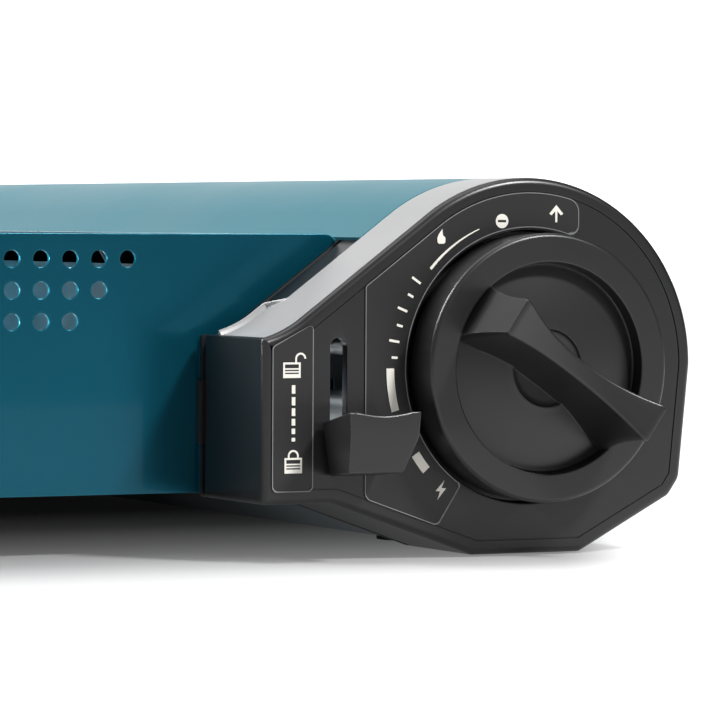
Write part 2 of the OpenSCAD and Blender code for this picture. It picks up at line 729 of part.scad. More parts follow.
electrode_a = -85;
electrode_c = burner_c + (burner_r + 4) * [cos(electrode_a), sin(electrode_a)];
insulator_r = 3;
z_insulator = -12;
module spark_lead() {
    z_lead = z_bottom + sheet_t + 1.3;
    color([0.75, 0.1, 0.08]) lead([[-igniter_r - 2.7, igniter_y, z_igniter_low + 4],
        [-15, y_regulator + 2, -30],
        [-30, y_panel - 6, z_lead + 1.4], [-slot_x, y_panel + 2, z_lead],
            [-slot_x - 15, y_panel + 12, z_lead],
        [electrode_c[0] + 20, electrode_c[1] - 20, z_lead],
            [electrode_c[0], electrode_c[1], z_lead + 3],
        [electrode_c[0], electrode_c[1], z_insulator - 1.1]], 0.9);
}
module electrode() {
    color([0.7, 0.7, 0.72]) rod_z([electrode_c[0], electrode_c[1], z_insulator - 1], 0.9,
        z_top - 3 - z_insulator);
}
module electrode_insulator() {
    color([0.93, 0.92, 0.9]) hollow_rod_z([electrode_c[0], electrode_c[1], z_insulator], insulator_r,
        0.9 + run_fit, z_top - 11 - z_insulator);
}
module electrode_bracket() {
    color([0.62, 0.64, 0.65]) difference() {
        translate([burner_c[0], burner_c[1], z_tube + 16]) rotate(electrode_a)
            translate([throat_r - 3, -5, 0]) cube([burner_r + 7 - throat_r + insulator_r, 10, 1.2]);
        rod_z([burner_c[0], burner_c[1], z_tube], throat_r + lay_gap, 40);
        rod_z([electrode_c[0], electrode_c[1], z_tube], insulator_r + run_fit, 40);
    }
}

// ---- Regulator ----

boss_r = 8.6;
outlet_r = 5;
outlet_dir = [cos(tube_a), sin(tube_a)];
y_regulator_end = y_regulator + regulator_len;
module regulator_body() {
    outlet_start = jet_p - 18 * outlet_dir;
    color([0.6, 0.6, 0.62]) difference() {
        union() {
            rod_y([0, y_regulator, 0], regulator_r, regulator_len);
            rod_y([0, y_regulator - 0.8, 0], 8, 3);
            rod_y([cartridge_c[0], y_regulator + 4, cartridge_c[1]], boss_r,
                bulkhead_y + sheet_t - y_regulator - 4);
            translate([outlet_start[0], outlet_start[1], z_tube])
                rotate([0, 90, tube_a]) cylinder(r = outlet_r + 1.5, h = 14);
            rod_x([10, diaphragm_y, 0], 13.5, regulator_r - 8);
        }
        rod_y([0, y_regulator - 2, 0], spindle_r + run_fit, 18);
        rod_y([cartridge_c[0], bulkhead_y - 11, cartridge_c[1]], inlet_r + run_fit / 2, 14);
        translate([outlet_start[0], outlet_start[1], z_tube])
            rotate([0, 90, tube_a]) translate([0, 0, 6]) cylinder(r = 3 + run_fit / 2, h = 10);
    }
}
diaphragm_y = y_regulator + 10;
x_diaphragm = regulator_r + 2;
module diaphragm() {
    color([0.1, 0.1, 0.1]) rod_x([x_diaphragm + lay_gap, diaphragm_y, 0], 13.5, 1.2);
}
module diaphragm_cover() {
    x0 = x_diaphragm + 1.2 + 2 * lay_gap;
    color([0.65, 0.65, 0.67]) difference() {
        union() {
            rod_x([x0, diaphragm_y, 0], 13.5, 1.6);
            rod_x([x0, diaphragm_y, 0], 9, 9);
        }
        rod_x([x0 - 1, diaphragm_y, 0], 7, 8.6);
    }
}
module governor_spring() {
    x0 = x_diaphragm + 1.2 + 2 * lay_gap + 0.75;
    color([0.75, 0.76, 0.77]) for (i = [0:3]) translate([x0 + i * 1.9, diaphragm_y, 0])
        rotate([0, 90, 0]) rotate_extrude() translate([5, 0]) circle(r = 0.6, $fn = 24);
}
inlet_r = 5.5;
module gas_inlet() {
    color([0.72, 0.6, 0.3]) difference() {
        rod_y([cartridge_c[0], bulkhead_y - 10, cartridge_c[1]], inlet_r, 12);
        rod_y([cartridge_c[0], bulkhead_y + 2 - inlet_bore_len, cartridge_c[1]], inlet_bore_r,
            inlet_bore_len + 1);
    }
}
module inlet_seal() {
    color([0.1, 0.1, 0.1]) difference() {
        rod_y([cartridge_c[0], bulkhead_y + sheet_t + lay_gap, cartridge_c[1]], boss_r, 0.9);
        rod_y([cartridge_c[0], bulkhead_y, cartridge_c[1]], inlet_r + run_fit, 4);
    }
}
module jet() {
    start = jet_p - 11.5 * outlet_dir;
    color([0.72, 0.6, 0.3]) translate([start[0], start[1], z_tube]) rotate([0, 90, tube_a])
        difference() {
        cylinder(r = 3, h = 13);
        translate([0, 0, 2]) cylinder(r = 0.8, h = 13, $fn = 24);
    }
}

// ---- Burner ----

throat_r = 12;
z_burner_low = z_tube - 10;
z_cap = z_top - 8;
module mixing_tube() {
    air_ports = 4;
    color([0.62, 0.64, 0.65]) translate([jet_p[0], jet_p[1], z_tube]) rotate([0, 90, tube_a])
        difference() {
        union() {
            cylinder(r = tube_r, h = tube_len);
            translate([0, 0, tube_len - 6]) cylinder(r = tube_r + 1.2, h = 2);
        }
        translate([0, 0, -1]) cylinder(r = tube_r - tube_t, h = tube_len + 2);
        for (i = [0:air_ports - 1]) rotate(45 + i * 360 / air_ports) translate([0, 0, 12])
            rotate([0, 90, 0]) cylinder(r = 3.2, h = 20, $fn = 32);
    }
}

module burner_body() {
    color([0.7, 0.71, 0.72]) difference() {
        translate([burner_c[0], burner_c[1], 0]) rotate_extrude()
            polygon([[0, z_burner_low], [chamber_r, z_burner_low],
            [chamber_r, z_tube + 10], [throat_r, z_tube + 14], [throat_r, z_cap - 12],
                [burner_r - 2, z_cap - 3],
            [burner_r - 2, z_cap], [burner_r - 4, z_cap], [burner_r - 4, z_cap - 2],
                [throat_r - 2, z_cap - 9.5],
            [throat_r - 2, z_tube + 12.5], [chamber_r - 2, z_tube + 8.6],
                [chamber_r - 2, z_burner_low + 2],
            [0, z_burner_low + 2]]);
        translate([jet_p[0], jet_p[1], z_tube]) rotate([0, 90, tube_a])
            cylinder(r = tube_r + run_fit, h = tube_len + 4);
    }
}

module burner_cap() {
    ports = 32;
    color([0.62, 0.5, 0.26]) difference() {
        translate([burner_c[0], burner_c[1], 0]) rotate_extrude()
            polygon([[0, z_cap + 3.4], [burner_r - 12, z_cap + 3.4],
            [burner_r - 4.2, z_cap + lay_gap], [burner_r, z_cap + lay_gap], [burner_r, z_cap + 3],
            [burner_r - 2.5, z_cap + 5], [0, z_cap + 5.8]]);
        for (i = [0:ports - 1]) translate([burner_c[0], burner_c[1], z_cap - 1]) rotate(i * 360 / ports)
            translate([burner_r - 8, -0.7, 0]) cube([12, 1.4, 2.8]);
    }
}

module burner_bracket() {
    leg = 7;
    color([0.62, 0.64, 0.65]) for (s = [-1, 1]) translate([burner_c[0] + s * 12 - leg / 2,
        burner_c[1] - 40, 0]) {
        box([0, 0, z_bottom + sheet_t + lay_gap], [leg, 80, z_bottom + sheet_t + 1.3]);
        box([0, 14, z_bottom + sheet_t + 1.3], [leg, 66, z_burner_low - lay_gap]);
    }
}

z_heat = -22.6;
module heat_plate() {
    cartridge_gap = 2;
    half_w = 16;
    plate_t = 1.2;
    reach = cartridge_c[0]
        - sqrt(pow(cartridge_r + cartridge_gap, 2) - pow(z_heat - cartridge_c[1], 2));
    color([0.78, 0.79, 0.8]) difference() {
        box([burner_c[0] + chamber_r + 1, burner_c[1] - half_w, z_heat],
            [reach, burner_c[1] + half_w, z_heat + plate_t]);
        translate([jet_p[0], jet_p[1], z_tube]) rotate([0, 90, tube_a])
            cylinder(r = tube_r + 2 * lay_gap, h = tube_len);
    }
}

pan_gap = move_gap + 0.2;
module drip_pan() {
    x0 = x_left + sheet_t + rim_top_w + pan_gap;
    x1 = x_rim - rim_top_w - pan_gap;
    y0 = y_panel + sheet_t + rim_top_w + pan_gap;
    y1 = y_back - sheet_t - rim_top_w - pan_gap;
    z = z_ledge + lay_gap;
    color([0.1, 0.1, 0.11]) {
        translate([0, 0, z]) linear_extrude(pan_t) difference() {
            translate([x0, y0]) square([x1 - x0, y1 - y0]);
            translate(burner_c) circle(r = pan_dish_r);
        }
        translate([burner_c[0], burner_c[1], 0]) rotate_extrude()
            polygon([[pan_dish_r + 0.4, z + pan_t],
            [pan_dish_r - 1, z + pan_t], [pan_dish_r - 9, z_dish + pan_t],
                [pan_hole_r + 10, z_dish + pan_t],
            [pan_hole_r, z_dish + 4], [pan_hole_r, z_dish + 4 - pan_t], [pan_hole_r + 10, z_dish],
            [pan_dish_r - 9, z_dish], [pan_dish_r - 0.4, z], [pan_dish_r + 0.4, z]]);
    }
}

module pan_support() {
    inner = 24;
    ring_r = 68;
    z_foot = z_dish + pan_t + lay_gap;
    color([0.08, 0.08, 0.085]) translate([burner_c[0], burner_c[1], 0]) {
        for (i = [0:3]) rotate(45 + 90 * i) rotate([90, 0, 0]) translate([0, 0, -support_t / 2])
            linear_extrude(support_t)
            polygon([[inner, z_support - 6], [inner + 3, z_support], [support_reach - 4, z_support],
                [support_reach, z_support - 3], [support_reach, z_foot], [support_reach - 9, z_foot],
                [support_reach - 9, z_foot + 12], [support_reach - 14, z_support - 9],
                    [inner + 4, z_support - 9]]);
        rotate_extrude() translate([ring_r, z_support - 9]) square([support_t, 4]);
    }
}

// ---- Cartridge cover and hinge ----

module cover_section() {
    x_edge = slope_x(z_top - 0.6);
    intersection() {
        difference() {
            polygon(housing_outline);
            polygon(inset(housing_outline, sheet_t));
        }
        translate([x_edge, -cover_drop]) square([3 * end_r, 3 * end_r]);
    }
}
module knuckle_strap() {
    // From the barrel up to the sheet, along the shoulder's slope
    edge = [slope_x(z_top - 0.6), z_top - 0.6];
    polygon([[hinge_c[0], hinge_c[1] + barrel_r], [hinge_c[0] + barrel_r * 0.9, hinge_c[1] - 0.6],
        edge + [1.6, -0.7], edge + [2, 1.1], edge + [0.3, 0]]);
}
module cartridge_cover() {
    y0 = trim_front + trim_w + move_gap;
    color([0.43, 0.64, 0.71]) difference() {
        union() {
            along_y(y0, y_back) cover_section();
            for (y = hinge_ys) along_y(y + hinge_len + move_gap, y + 2 * hinge_len) {
                translate(hinge_c) circle(r = barrel_r);
                knuckle_strap();
            }
            // Finger lip along the free edge
            box([end_r - sheet_t - 0.1, (y_panel + y_back) / 2 - 20, -cover_drop - 3],
                [end_r - 0.1, (y_panel + y_back) / 2 + 20, -cover_drop + tiny]);
        }
        for (y = hinge_ys) rod_y([hinge_c[0], y, hinge_c[1]], hinge_pin_r + run_fit, 4 * hinge_len);
    }
}
module hinge_brackets() {
    x0 = x_bay + sheet_t + lay_gap;
    color([0.62, 0.64, 0.65]) difference() {
        for (y = hinge_ys, k = [0, 2]) along_y(y + k * hinge_len + (k == 0 ? 0 : move_gap),
            y + (k + 1) * hinge_len) {
            translate(hinge_c) circle(r = barrel_r);
            polygon([[hinge_c[0] - barrel_r, hinge_c[1]], [hinge_c[0] + barrel_r, hinge_c[1]],
                [hinge_c[0] + barrel_r, hinge_c[1] - 2], [x0 + 1.2, hinge_c[1] - 6],
                    [x0 + 1.2, hinge_c[1] - 14],
                [x0, hinge_c[1] - 14], [x0, hinge_c[1] - 4]]);
        }
        for (y = hinge_ys) rod_y([hinge_c[0], y - 1, hinge_c[1]], hinge_pin_r + run_fit, 4 * hinge_len);
    }
}
module hinge_pins() {
    color([0.6, 0.61, 0.62]) for (y = hinge_ys) {
        rod_y([hinge_c[0], y - 0.6, hinge_c[1]], hinge_pin_r, 3 * hinge_len + 1.2);
        rod_y([hinge_c[0], y - 1.4, hinge_c[1]], barrel_r - 0.5, 0.8);
    }
}

// ---- Lock lever and carriage ----

module lock_lever() {
    x0 = -slot_x - 4.4;
    x1 = -slot_x + 12.1;
    z_high = -8.2;
    z_low = -20.9;
    color([0.07, 0.07, 0.075]) difference() {
        along_y(-14.2, -1) polygon([[x0, z_low], [x1 - 3.9, z_low], [x1 - 0.3, -14], [x1, z_high - 0.1],
            [(x0 + x1) / 2, z_high - 0.9], [x0, z_high]]);
        along_x(-slot_x - arm_t / 2 - run_fit, -slot_x + arm_t / 2 + run_fit) lever_arm_shape(run_fit);
    }
}
module lever_arm_shape(grow) {
    difference() {
        polygon([[-9 - grow, arm_front_low - grow], [6, arm_front_low - grow], [18, arm_front_low + 3],
            [34, pivot_z - 4.6], [pivot_y, pivot_z - 5], [pivot_y + 5, pivot_z],
                [pivot_y + 3.6, crank_len + pivot_z],
            [pivot_y - 3.6, crank_len + pivot_z], [pivot_y - 5, pivot_z + 6], [34, pivot_z + 3.4],
            [18, arm_front_high + 5.5], [6, arm_front_high + grow],
                [-9 - grow, arm_front_high + grow]]);
        translate([pivot_y, pivot_z]) circle(r = pivot_pin_r + run_fit);
    }
}
module lever_arm() {
    color([0.62, 0.64, 0.65]) {
        along_x(-slot_x - arm_t / 2, -slot_x + arm_t / 2) lever_arm_shape(0);
        rod_x([-slot_x + arm_t / 2 - tiny, pivot_y, pivot_z + crank_len - 3], crank_pin_r, 6.4);
        rod_x([-slot_x - arm_t / 2, pivot_y, pivot_z + crank_len - 3], crank_pin_r, arm_t);
    }
}
module lever_pin() {
    color([0.6, 0.61, 0.62]) rod_x([-slot_x - 6, pivot_y, pivot_z], pivot_pin_r, 12);
}
module lever_bracket() {
    // Two cheeks that hold the pivot pin, with a floor that is cut out for the mixing tube
    cheek_t = 1.2;
    color([0.62, 0.64, 0.65]) difference() {
        for (s = [-1, 1]) along_x(-slot_x + s * 3.4 - cheek_t / 2, -slot_x + s * 3.4 + cheek_t / 2)
            difference() {
            polygon([[y_panel + sheet_t + lay_gap, pivot_z + 6],
                [y_panel + sheet_t + lay_gap, pivot_z + 16],
                [pivot_y - 8, pivot_z + 6], [pivot_y + 3, pivot_z + 5], [pivot_y + 5, pivot_z],
                [pivot_y + 3, pivot_z - 5], [pivot_y - 3, pivot_z - 5],
                    [y_panel + sheet_t + 4, pivot_z + 3]]);
            translate([pivot_y, pivot_z]) circle(r = pivot_pin_r + run_fit / 2);
        }
    }
}

// Tab of the carriage, which passes the partition between the cartridge and the burner's compartment
tab_y = bulkhead_y + 26;
tab_len = 12;
z_tab = -22;
carriage_t = 1.2;
z_carriage = z_housing_bottom + bay_inset + sheet_t + move_gap;
module carriage() {
    chamfer_a = atan2(z_housing_low - z_housing_bottom, z_chamfer_x + slot_x + 1);
    reach = z_chamfer_x + 1 - x_bay - 3;
    z_end = z_carriage + reach * tan(chamfer_a) + 0.6;
    x_web = x_bay + 3;
    y_pusher = y_stop + cartridge_len + 0.5;
    color([0.66, 0.68, 0.69]) {
        box([z_chamfer_x + 1, y_stop + 12, z_carriage], [11.5, y_pusher + carriage_t,
            z_carriage + carriage_t]);
        // Pusher behind the cartridge
        along_y(y_pusher, y_pusher + carriage_t) polygon([[-11, z_carriage], [11.5, z_carriage], [20,
            z_carriage + 12],
            [20, -6], [-16, -6], [-16, z_carriage + 12]]);
        // Rising side web and the tab through the partition
        along_y(tab_y, tab_y + tab_len) {
            polygon([[z_chamfer_x + 1 + tiny, z_carriage],
                [z_chamfer_x + 1 + tiny, z_carriage + carriage_t],
                [x_web + carriage_t, z_end + carriage_t], [x_web + carriage_t, z_tab + carriage_t],
                [lug_x - carriage_t / 2, z_tab + carriage_t], [lug_x - carriage_t / 2, z_tab],
                    [x_web, z_tab], [x_web, z_end]]);
        }
        // Lug with the slot for the crank pin
        along_x(lug_x - carriage_t / 2, lug_x + carriage_t / 2) difference() {
            polygon([[tab_y, z_tab], [tab_y + tab_len, z_tab],
                [tab_y + tab_len, pivot_z + crank_len + 2],
                [pivot_y - 6, pivot_z + crank_len + 2], [pivot_y - 6, pivot_z + crank_len - 8.5],
                [tab_y - 2, pivot_z + crank_len - 8.5], [tab_y, pivot_z + crank_len - 12]]);
            translate([pivot_y - crank_pin_r - move_gap, pivot_z + crank_len - 3 - crank_pin_r - 1.6])
                square([2 * (crank_pin_r + move_gap), 2 * crank_pin_r + 3.2]);
        }
    }
}
module carriage_saddles() {
    color([0.3, 0.31, 0.32]) for (y = [y_stop + 34, y_stop + cartridge_len - 40])
        along_y(y, y + 4) difference() {
            polygon([[z_chamfer_x + 2, z_carriage + carriage_t + lay_gap],
                [13, z_carriage + carriage_t + lay_gap],
                [22, -24], [-18, -24]]);
            translate(cartridge_c) circle(r = cartridge_r + 0.3);
        }
}

place() case_body();
place() base_plate();
place() bay_tray();
place() bay_end_plate();
place() partition();
place() bulkhead();
place() foot_front_left();
place() foot_rear_left();
place() foot_front_right();
place() foot_rear_right();
place() foot_screws();
place() control_housing();
place() housing_screws();
place() silver_trim();
place() lock_label();
place() dial_label();
place() lock_icons();
place() dial_icons();
place() dial_knob();
place() valve_spindle();
place() spring_washer();
place() knob_spring();
place() ignition_cam();
place() igniter_body();
place() igniter_plunger();
place() spark_lead();
place() electrode();
place() electrode_insulator();
place() electrode_bracket();
place() regulator_body();
place() diaphragm();
place() diaphragm_cover();
place() governor_spring();
place() gas_inlet();
place() inlet_seal();
place() jet();
place() mixing_tube();
place() burner_body();
place() burner_cap();
place() burner_bracket();
place() heat_plate();
place() drip_pan();
place() pan_support();
place() cartridge_cover();
place() hinge_brackets();
place() hinge_pins();
place() lock_lever();
place() lever_arm();
place() lever_pin();
place() lever_bracket();
place() carriage();
place() carriage_saddles();
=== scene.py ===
"""Looks of a portable single-burner cartridge stove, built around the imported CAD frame.

Lengths in the helpers are millimetres in the dial's frame: origin at the dial's centre on the
housing's front plane, X to the right, Y to the back, Z up. Shape.build() turns them into metres in
the row frame.
"""
import json
import math

import bmesh
import bpy
from mathutils import Matrix, Vector


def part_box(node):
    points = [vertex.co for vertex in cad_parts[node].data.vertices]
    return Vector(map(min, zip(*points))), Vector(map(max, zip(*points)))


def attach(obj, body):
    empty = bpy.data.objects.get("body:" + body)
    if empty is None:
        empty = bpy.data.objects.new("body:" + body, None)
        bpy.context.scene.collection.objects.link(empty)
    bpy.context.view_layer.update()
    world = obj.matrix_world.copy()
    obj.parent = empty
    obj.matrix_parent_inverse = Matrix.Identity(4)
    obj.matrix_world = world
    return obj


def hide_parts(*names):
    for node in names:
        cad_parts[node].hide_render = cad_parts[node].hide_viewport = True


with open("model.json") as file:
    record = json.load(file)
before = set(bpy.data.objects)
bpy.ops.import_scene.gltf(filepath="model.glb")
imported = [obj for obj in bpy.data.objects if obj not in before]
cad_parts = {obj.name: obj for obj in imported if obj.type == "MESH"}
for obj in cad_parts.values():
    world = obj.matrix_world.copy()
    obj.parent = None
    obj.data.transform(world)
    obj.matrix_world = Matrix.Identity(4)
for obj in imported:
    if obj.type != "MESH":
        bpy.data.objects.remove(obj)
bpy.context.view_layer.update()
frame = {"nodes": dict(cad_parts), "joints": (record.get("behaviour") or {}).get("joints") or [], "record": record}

MM = 0.001
joint_of = {j["name"]: j for j in frame["joints"]}
DIAL = Vector(joint_of["knob_turn"]["pos_m"])


def measured(node):
    """A CAD node's box in millimetres in the dial's frame"""
    low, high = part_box(node)
    return (low - DIAL) / MM, (high - DIAL) / MM


# ---------------------------------------------------------------- sizes, from the frame
housing_low, housing_high = measured("control_housing")
trim_low, trim_high = measured("silver_trim")
cover_low, cover_high = measured("cartridge_cover")
case_low, case_high = measured("case_body")
knob_low = measured("dial_knob")[0]
lever_low, lever_high = measured("lock_lever")
label_low = measured("lock_label")[0]

END_R = housing_high.x
X_HOUSING = housing_low.x
Z_BOTTOM = housing_low.z
Z_LOW = case_low.z - 0.9
Y_PANEL = housing_high.y
SHEET = 0.8
SLOPE = math.radians(36.3)
SLOPE_LEN = 36.6
FOOT_R = 25.0
TRIM_FRONT = 2.0
TRIM_BACK = trim_high.y
LIP_END_X = -47.9
COVER_REACH = 5.2
COVER_EDGE_Z = case_high.z - 0.6
COVER_LOW_Z = -8.0
WELL_R = 28.9
WELL_DEPTH = 3.6
DIAL_R = 28.4
DIAL_H = 9.2
POINTER = math.radians(145.5)
LABEL_INSET = 3.1
LABEL_WELL_R = 29.5
BOSS_R, BOSS_HOLE_R = 3.0, 1.3


# ---------------------------------------------------------------- mesh helpers
class Shape:
    """Points in millimetres, with quads between rings and filled flat outlines"""

    def __init__(self):
        self.points, self.faces, self.fills = [], [], []

    def ring(self, points):
        start = len(self.points)
        self.points += [Vector(p) for p in points]
        return list(range(start, len(self.points)))

    def bridge(self, a, b, closed=True):
        n = len(a)
        for i in range(n if closed else n - 1):
            j = (i + 1) % n
            self.faces.append((a[i], a[j], b[j], b[i]))

    def sweep(self, rings, closed=True, around=False):
        """Joins rings of equal length one after another, and the last to the first if around"""
        ids = [self.ring(r) for r in rings]
        for a, b in zip(ids, ids[1:]):
            self.bridge(a, b, closed)
        if around:
            self.bridge(ids[-1], ids[0], closed)
        return ids

    def fill(self, *loops):
        """Fills a flat outline; further loops are its holes"""
        self.fills.append(loops)

    def cap(self, ids):
        self.faces.append(tuple(ids))

    def build(self, name, material, smooth=35.0, bevel=0.0, segments=2):
        bm = bmesh.new()
        verts = [bm.verts.new(DIAL + p * MM) for p in self.points]
        for f in self.faces:
            corners = [verts[i] for k, i in enumerate(f) if i != f[k - 1]]
            if len(set(corners)) > 2 and bm.faces.get(corners) is None:
                bm.faces.new(corners)
        for loops in self.fills:
            edges = []
            for loop in loops:
                for i, k in zip(loop, loop[1:] + loop[:1]):
                    pair = (verts[i], verts[k])
                    edges.append(bm.edges.get(pair) or bm.edges.new(pair))
            bmesh.ops.triangle_fill(bm, use_beauty=True, use_dissolve=False, edges=edges)
        bmesh.ops.remove_doubles(bm, verts=bm.verts, dist=2e-6)
        bmesh.ops.dissolve_degenerate(bm, edges=bm.edges, dist=1e-6)
        bmesh.ops.recalc_face_normals(bm, faces=bm.faces)
        mesh = bpy.data.meshes.new(name)
        bm.to_mesh(mesh)
        bm.free()
        mesh.materials.append(material)
        piece = bpy.data.objects.new(name, mesh)
        bpy.context.scene.collection.objects.link(piece)
        finish_edges(piece, smooth, bevel, segments)
        return piece


def finish_edges(piece, smooth=35.0, bevel=0.0, segments=2):
    """Smooth shading up to an angle, and a small round on every sharper edge"""
    mesh = piece.data
    mesh.shade_smooth()
    mesh.set_sharp_from_angle(angle=math.radians(smooth))
    if bevel:
        add = piece.modifiers.new("edge_round", "BEVEL")
        add.width = bevel * MM
        add.segments = segments
        add.limit_method = "ANGLE"
        add.angle_limit = math.radians(smooth)
    flat = piece.modifiers.new("flat_faces", "WEIGHTED_NORMAL")
    flat.keep_sharp = True
    flat.weight = 90


def arc(cx, cz, r, a0, a1, n):
    """Points of an arc, both ends included; angles in radians"""
    return [(cx + r * math.cos(a0 + (a1 - a0) * i / n), cz + r * math.sin(a0 + (a1 - a0) * i / n))
            for i in range(n + 1)]


def rounded_corner(p0, p1, p2, r, n=6):
    """The corner p1 of p0-p1-p2 as an arc of radius r"""
    a, p, b = Vector(p0), Vector(p1), Vector(p2)
    u, v = (a - p).normalized(), (b - p).normalized()
    half = u.angle(v) / 2
    reach = min(r / math.tan(half), (a - p).length * 0.49, (b - p).length * 0.49)
    r = reach * math.tan(half)
    centre = p + (u + v).normalized() * r / math.sin(half)
    start = p + u * reach - centre
    side = 1 if u.x * v.y - u.y * v.x < 0 else -1
    points = []
    for i in range(n + 1):
        t = side * (math.pi - 2 * half) * i / n
        points.append((centre.x + start.x * math.cos(t) - start.y * math.sin(t),
                       centre.y + start.x * math.sin(t) + start.y * math.cos(t)))
    return points


def rounded(corners, n=6):
    """A closed outline from (x, z, radius) corners"""
    points = []
    count = len(corners)
    for i, (x, z, r) in enumerate(corners):
        if r <= 0:
            points.append((x, z))
        else:
            before, after = corners[i - 1], corners[(i + 1) % count]
            points += rounded_corner(before[:2], (x, z), after[:2], r, n)
    return points


def prism(shape, outline, y0, y1):
    """A closed prism along Y with a front-view outline"""
    front = shape.ring([(x, y0, z) for x, z in outline])
    back = shape.ring([(x, y1, z) for x, z in outline])
    shape.bridge(front, back)
    shape.fill(front)
    shape.fill(back)


def tube_y(shape, centre, outer, inner, y0, y1, n=32):
    """A closed tube along Y"""
    loops = [[(x, y, z) for x, z in arc(centre[0], centre[1], r, 0, 2 * math.pi, n)[:-1]]
             for r, y in ((outer, y0), (outer, y1), (inner, y1), (inner, y0))]
    shape.sweep(loops, around=True)


def lathe_y(shape, profile, n=160):
    """Revolves (radius, y) points about the dial's axis"""
    turns = [2 * math.pi * i / n for i in range(n)]
    rings = [[(r * math.cos(t), y, r * math.sin(t)) for t in turns] for r, y in profile if r > 0]
    ids = shape.sweep(rings)
    for r, y in (profile[0], profile[-1]):
        if r == 0:
            tip = shape.ring([(0, y, 0)])[0]
            edge = ids[0] if (r, y) == profile[0] else ids[-1]
            for i in range(n):
                shape.faces.append((edge[i], edge[(i + 1) % n], tip))


# ---------------------------------------------------------------- the housing's front-view outline
tangent = (-END_R * math.sin(SLOPE), END_R * math.cos(SLOPE))
slope_end = (tangent[0] - SLOPE_LEN * math.cos(SLOPE), tangent[1] - SLOPE_LEN * math.sin(SLOPE))
foot_c = (slope_end[0] - FOOT_R * math.sin(SLOPE), slope_end[1] + FOOT_R * math.cos(SLOPE))
SIDE_DROP, SIDE_LEAN = 24.4, 2.4
LOWER = [(X_HOUSING, Z_LOW, 1.0), (-46.0, Z_LOW, 6.0), (-13.0, Z_BOTTOM, 2.0),
         (13.0, Z_BOTTOM, 2.0), (35.0, -28.1, 3.0), (37.6, -SIDE_DROP, 4.0)]
ARC_STEPS, FOOT_STEPS, CORNER_STEPS = 132, 30, 6


def foot_point(x, d=0.0):
    """Direction angle on the concave foot whose point lies at x, for an outline inset by d"""
    return math.asin((x - foot_c[0]) / (FOOT_R + d))


def slope_at(z):
    """X of the shoulder's straight slope at height z"""
    return tangent[0] - (tangent[1] - z) / math.tan(SLOPE)


def line_x(z, d):
    """X of the right side below the round end, inset by d"""
    return END_R - d + (z / SIDE_DROP) * SIDE_LEAN


def outline(d=0.0):
    """Front view of the housing, inset by d: round end, slope, concave foot, then the lower side.
    Every inset has the same number of points."""
    points = arc(0, 0, END_R - d, 0, math.pi / 2 + SLOPE, ARC_STEPS)
    edge_z = COVER_EDGE_Z
    points += [(slope_at(edge_z) + d * math.sin(SLOPE), edge_z - d * math.cos(SLOPE))]
    t_end = foot_point(X_HOUSING + d, d)
    t_trim = foot_point(X_HOUSING + 1.0)
    run = (LIP_END_X - slope_end[0]) / math.cos(SLOPE)
    for left in [run * (1 - i / 6) for i in range(7)]:
        points.append((slope_end[0] + left * math.cos(SLOPE) + d * math.sin(SLOPE),
                       slope_end[1] + left * math.sin(SLOPE) - d * math.cos(SLOPE)))
    ts = [SLOPE + (t_trim - SLOPE) * i / FOOT_STEPS for i in range(1, FOOT_STEPS + 1)]
    ts += [max(t_trim - 0.002, t_end + 0.001)]
    points += [(foot_c[0] + (FOOT_R + d) * math.sin(t), foot_c[1] - (FOOT_R + d) * math.cos(t))
               for t in ts]
    top_left = (foot_c[0] + (FOOT_R + d) * math.sin(t_end),
                foot_c[1] - (FOOT_R + d) * math.cos(t_end))
    lower = inset_corners(d)
    points += rounded_corner(points[-1], top_left, lower[0][:2], 0.5, CORNER_STEPS)
    chain = [top_left] + [c[:2] for c in lower] + [(line_x(-9.0, d), -9.0)]
    for i, (x, z, r) in enumerate(lower):
        points += rounded_corner(chain[i], (x, z), chain[i + 2], r, CORNER_STEPS)
    for z in (COVER_LOW_Z, TRIM_LOW_Z - 0.06, TRIM_LOW_Z, -2.0):
        points.append((line_x(z, d), z))
    return points


def inset_corners(d):
    """The lower side's corners, moved inwards by d, with their radii"""
    sharp = [(X_HOUSING, 5.0)] + [c[:2] for c in LOWER] + [(END_R, 0.0)]
    moved = []
    for i, (x, z, r) in enumerate(LOWER, start=1):
        u = (Vector(sharp[i]) - Vector(sharp[i - 1])).normalized()
        v = (Vector(sharp[i + 1]) - Vector(sharp[i])).normalized()
        nu, nv = Vector((-u.y, u.x)), Vector((-v.y, v.x))
        p = Vector(sharp[i]) + (nu + nv) * d / (1 + nu.dot(nv))
        convex = u.x * v.y - u.y * v.x > 0
        moved.append((p.x, p.y, max(r - d, 0.2) if convex else r + d))
    return moved


EDGE_LINE = 0.2
TRIM_LOW_Z = trim_low.z
FOOT_FIRST = ARC_STEPS + 2
TRIM_LAST = FOOT_FIRST + 6 + FOOT_STEPS
LIP_FIRST = FOOT_FIRST
COVER_LAST = ARC_STEPS + 1
TAIL = 4


POINT_COUNT = len(outline())
LINE_COVER, LINE_TRIM = POINT_COUNT - TAIL, POINT_COUNT - TAIL + 2
trim_path = list(range(LINE_TRIM, POINT_COUNT)) + list(range(0, TRIM_LAST + 1))
cover_path = list(range(LINE_COVER, POINT_COUNT)) + list(range(0, COVER_LAST + 1))


def strip_along_outline(shape, path, section):
    """Sweeps a closed section along part of the outline. section(i) gives (y, inset) points."""
    cache = {}

    def place(i, y, d):
        key = round(d, 4)
        if key not in cache:
            cache[key] = outline(d)
        x, z = cache[key][i]
        return x, y, z

    ids = shape.sweep([[place(i, y, d) for y, d in section(i)] for i in path])
    shape.fill(ids[0])
    shape.fill(ids[-1])


# ---------------------------------------------------------------- materials
def node(tree, kind, **values):
    made = tree.nodes.new(kind)
    for key, value in values.items():
        if key in made.inputs:
            made.inputs[key].default_value = value
        else:
            setattr(made, key, value)
    return made


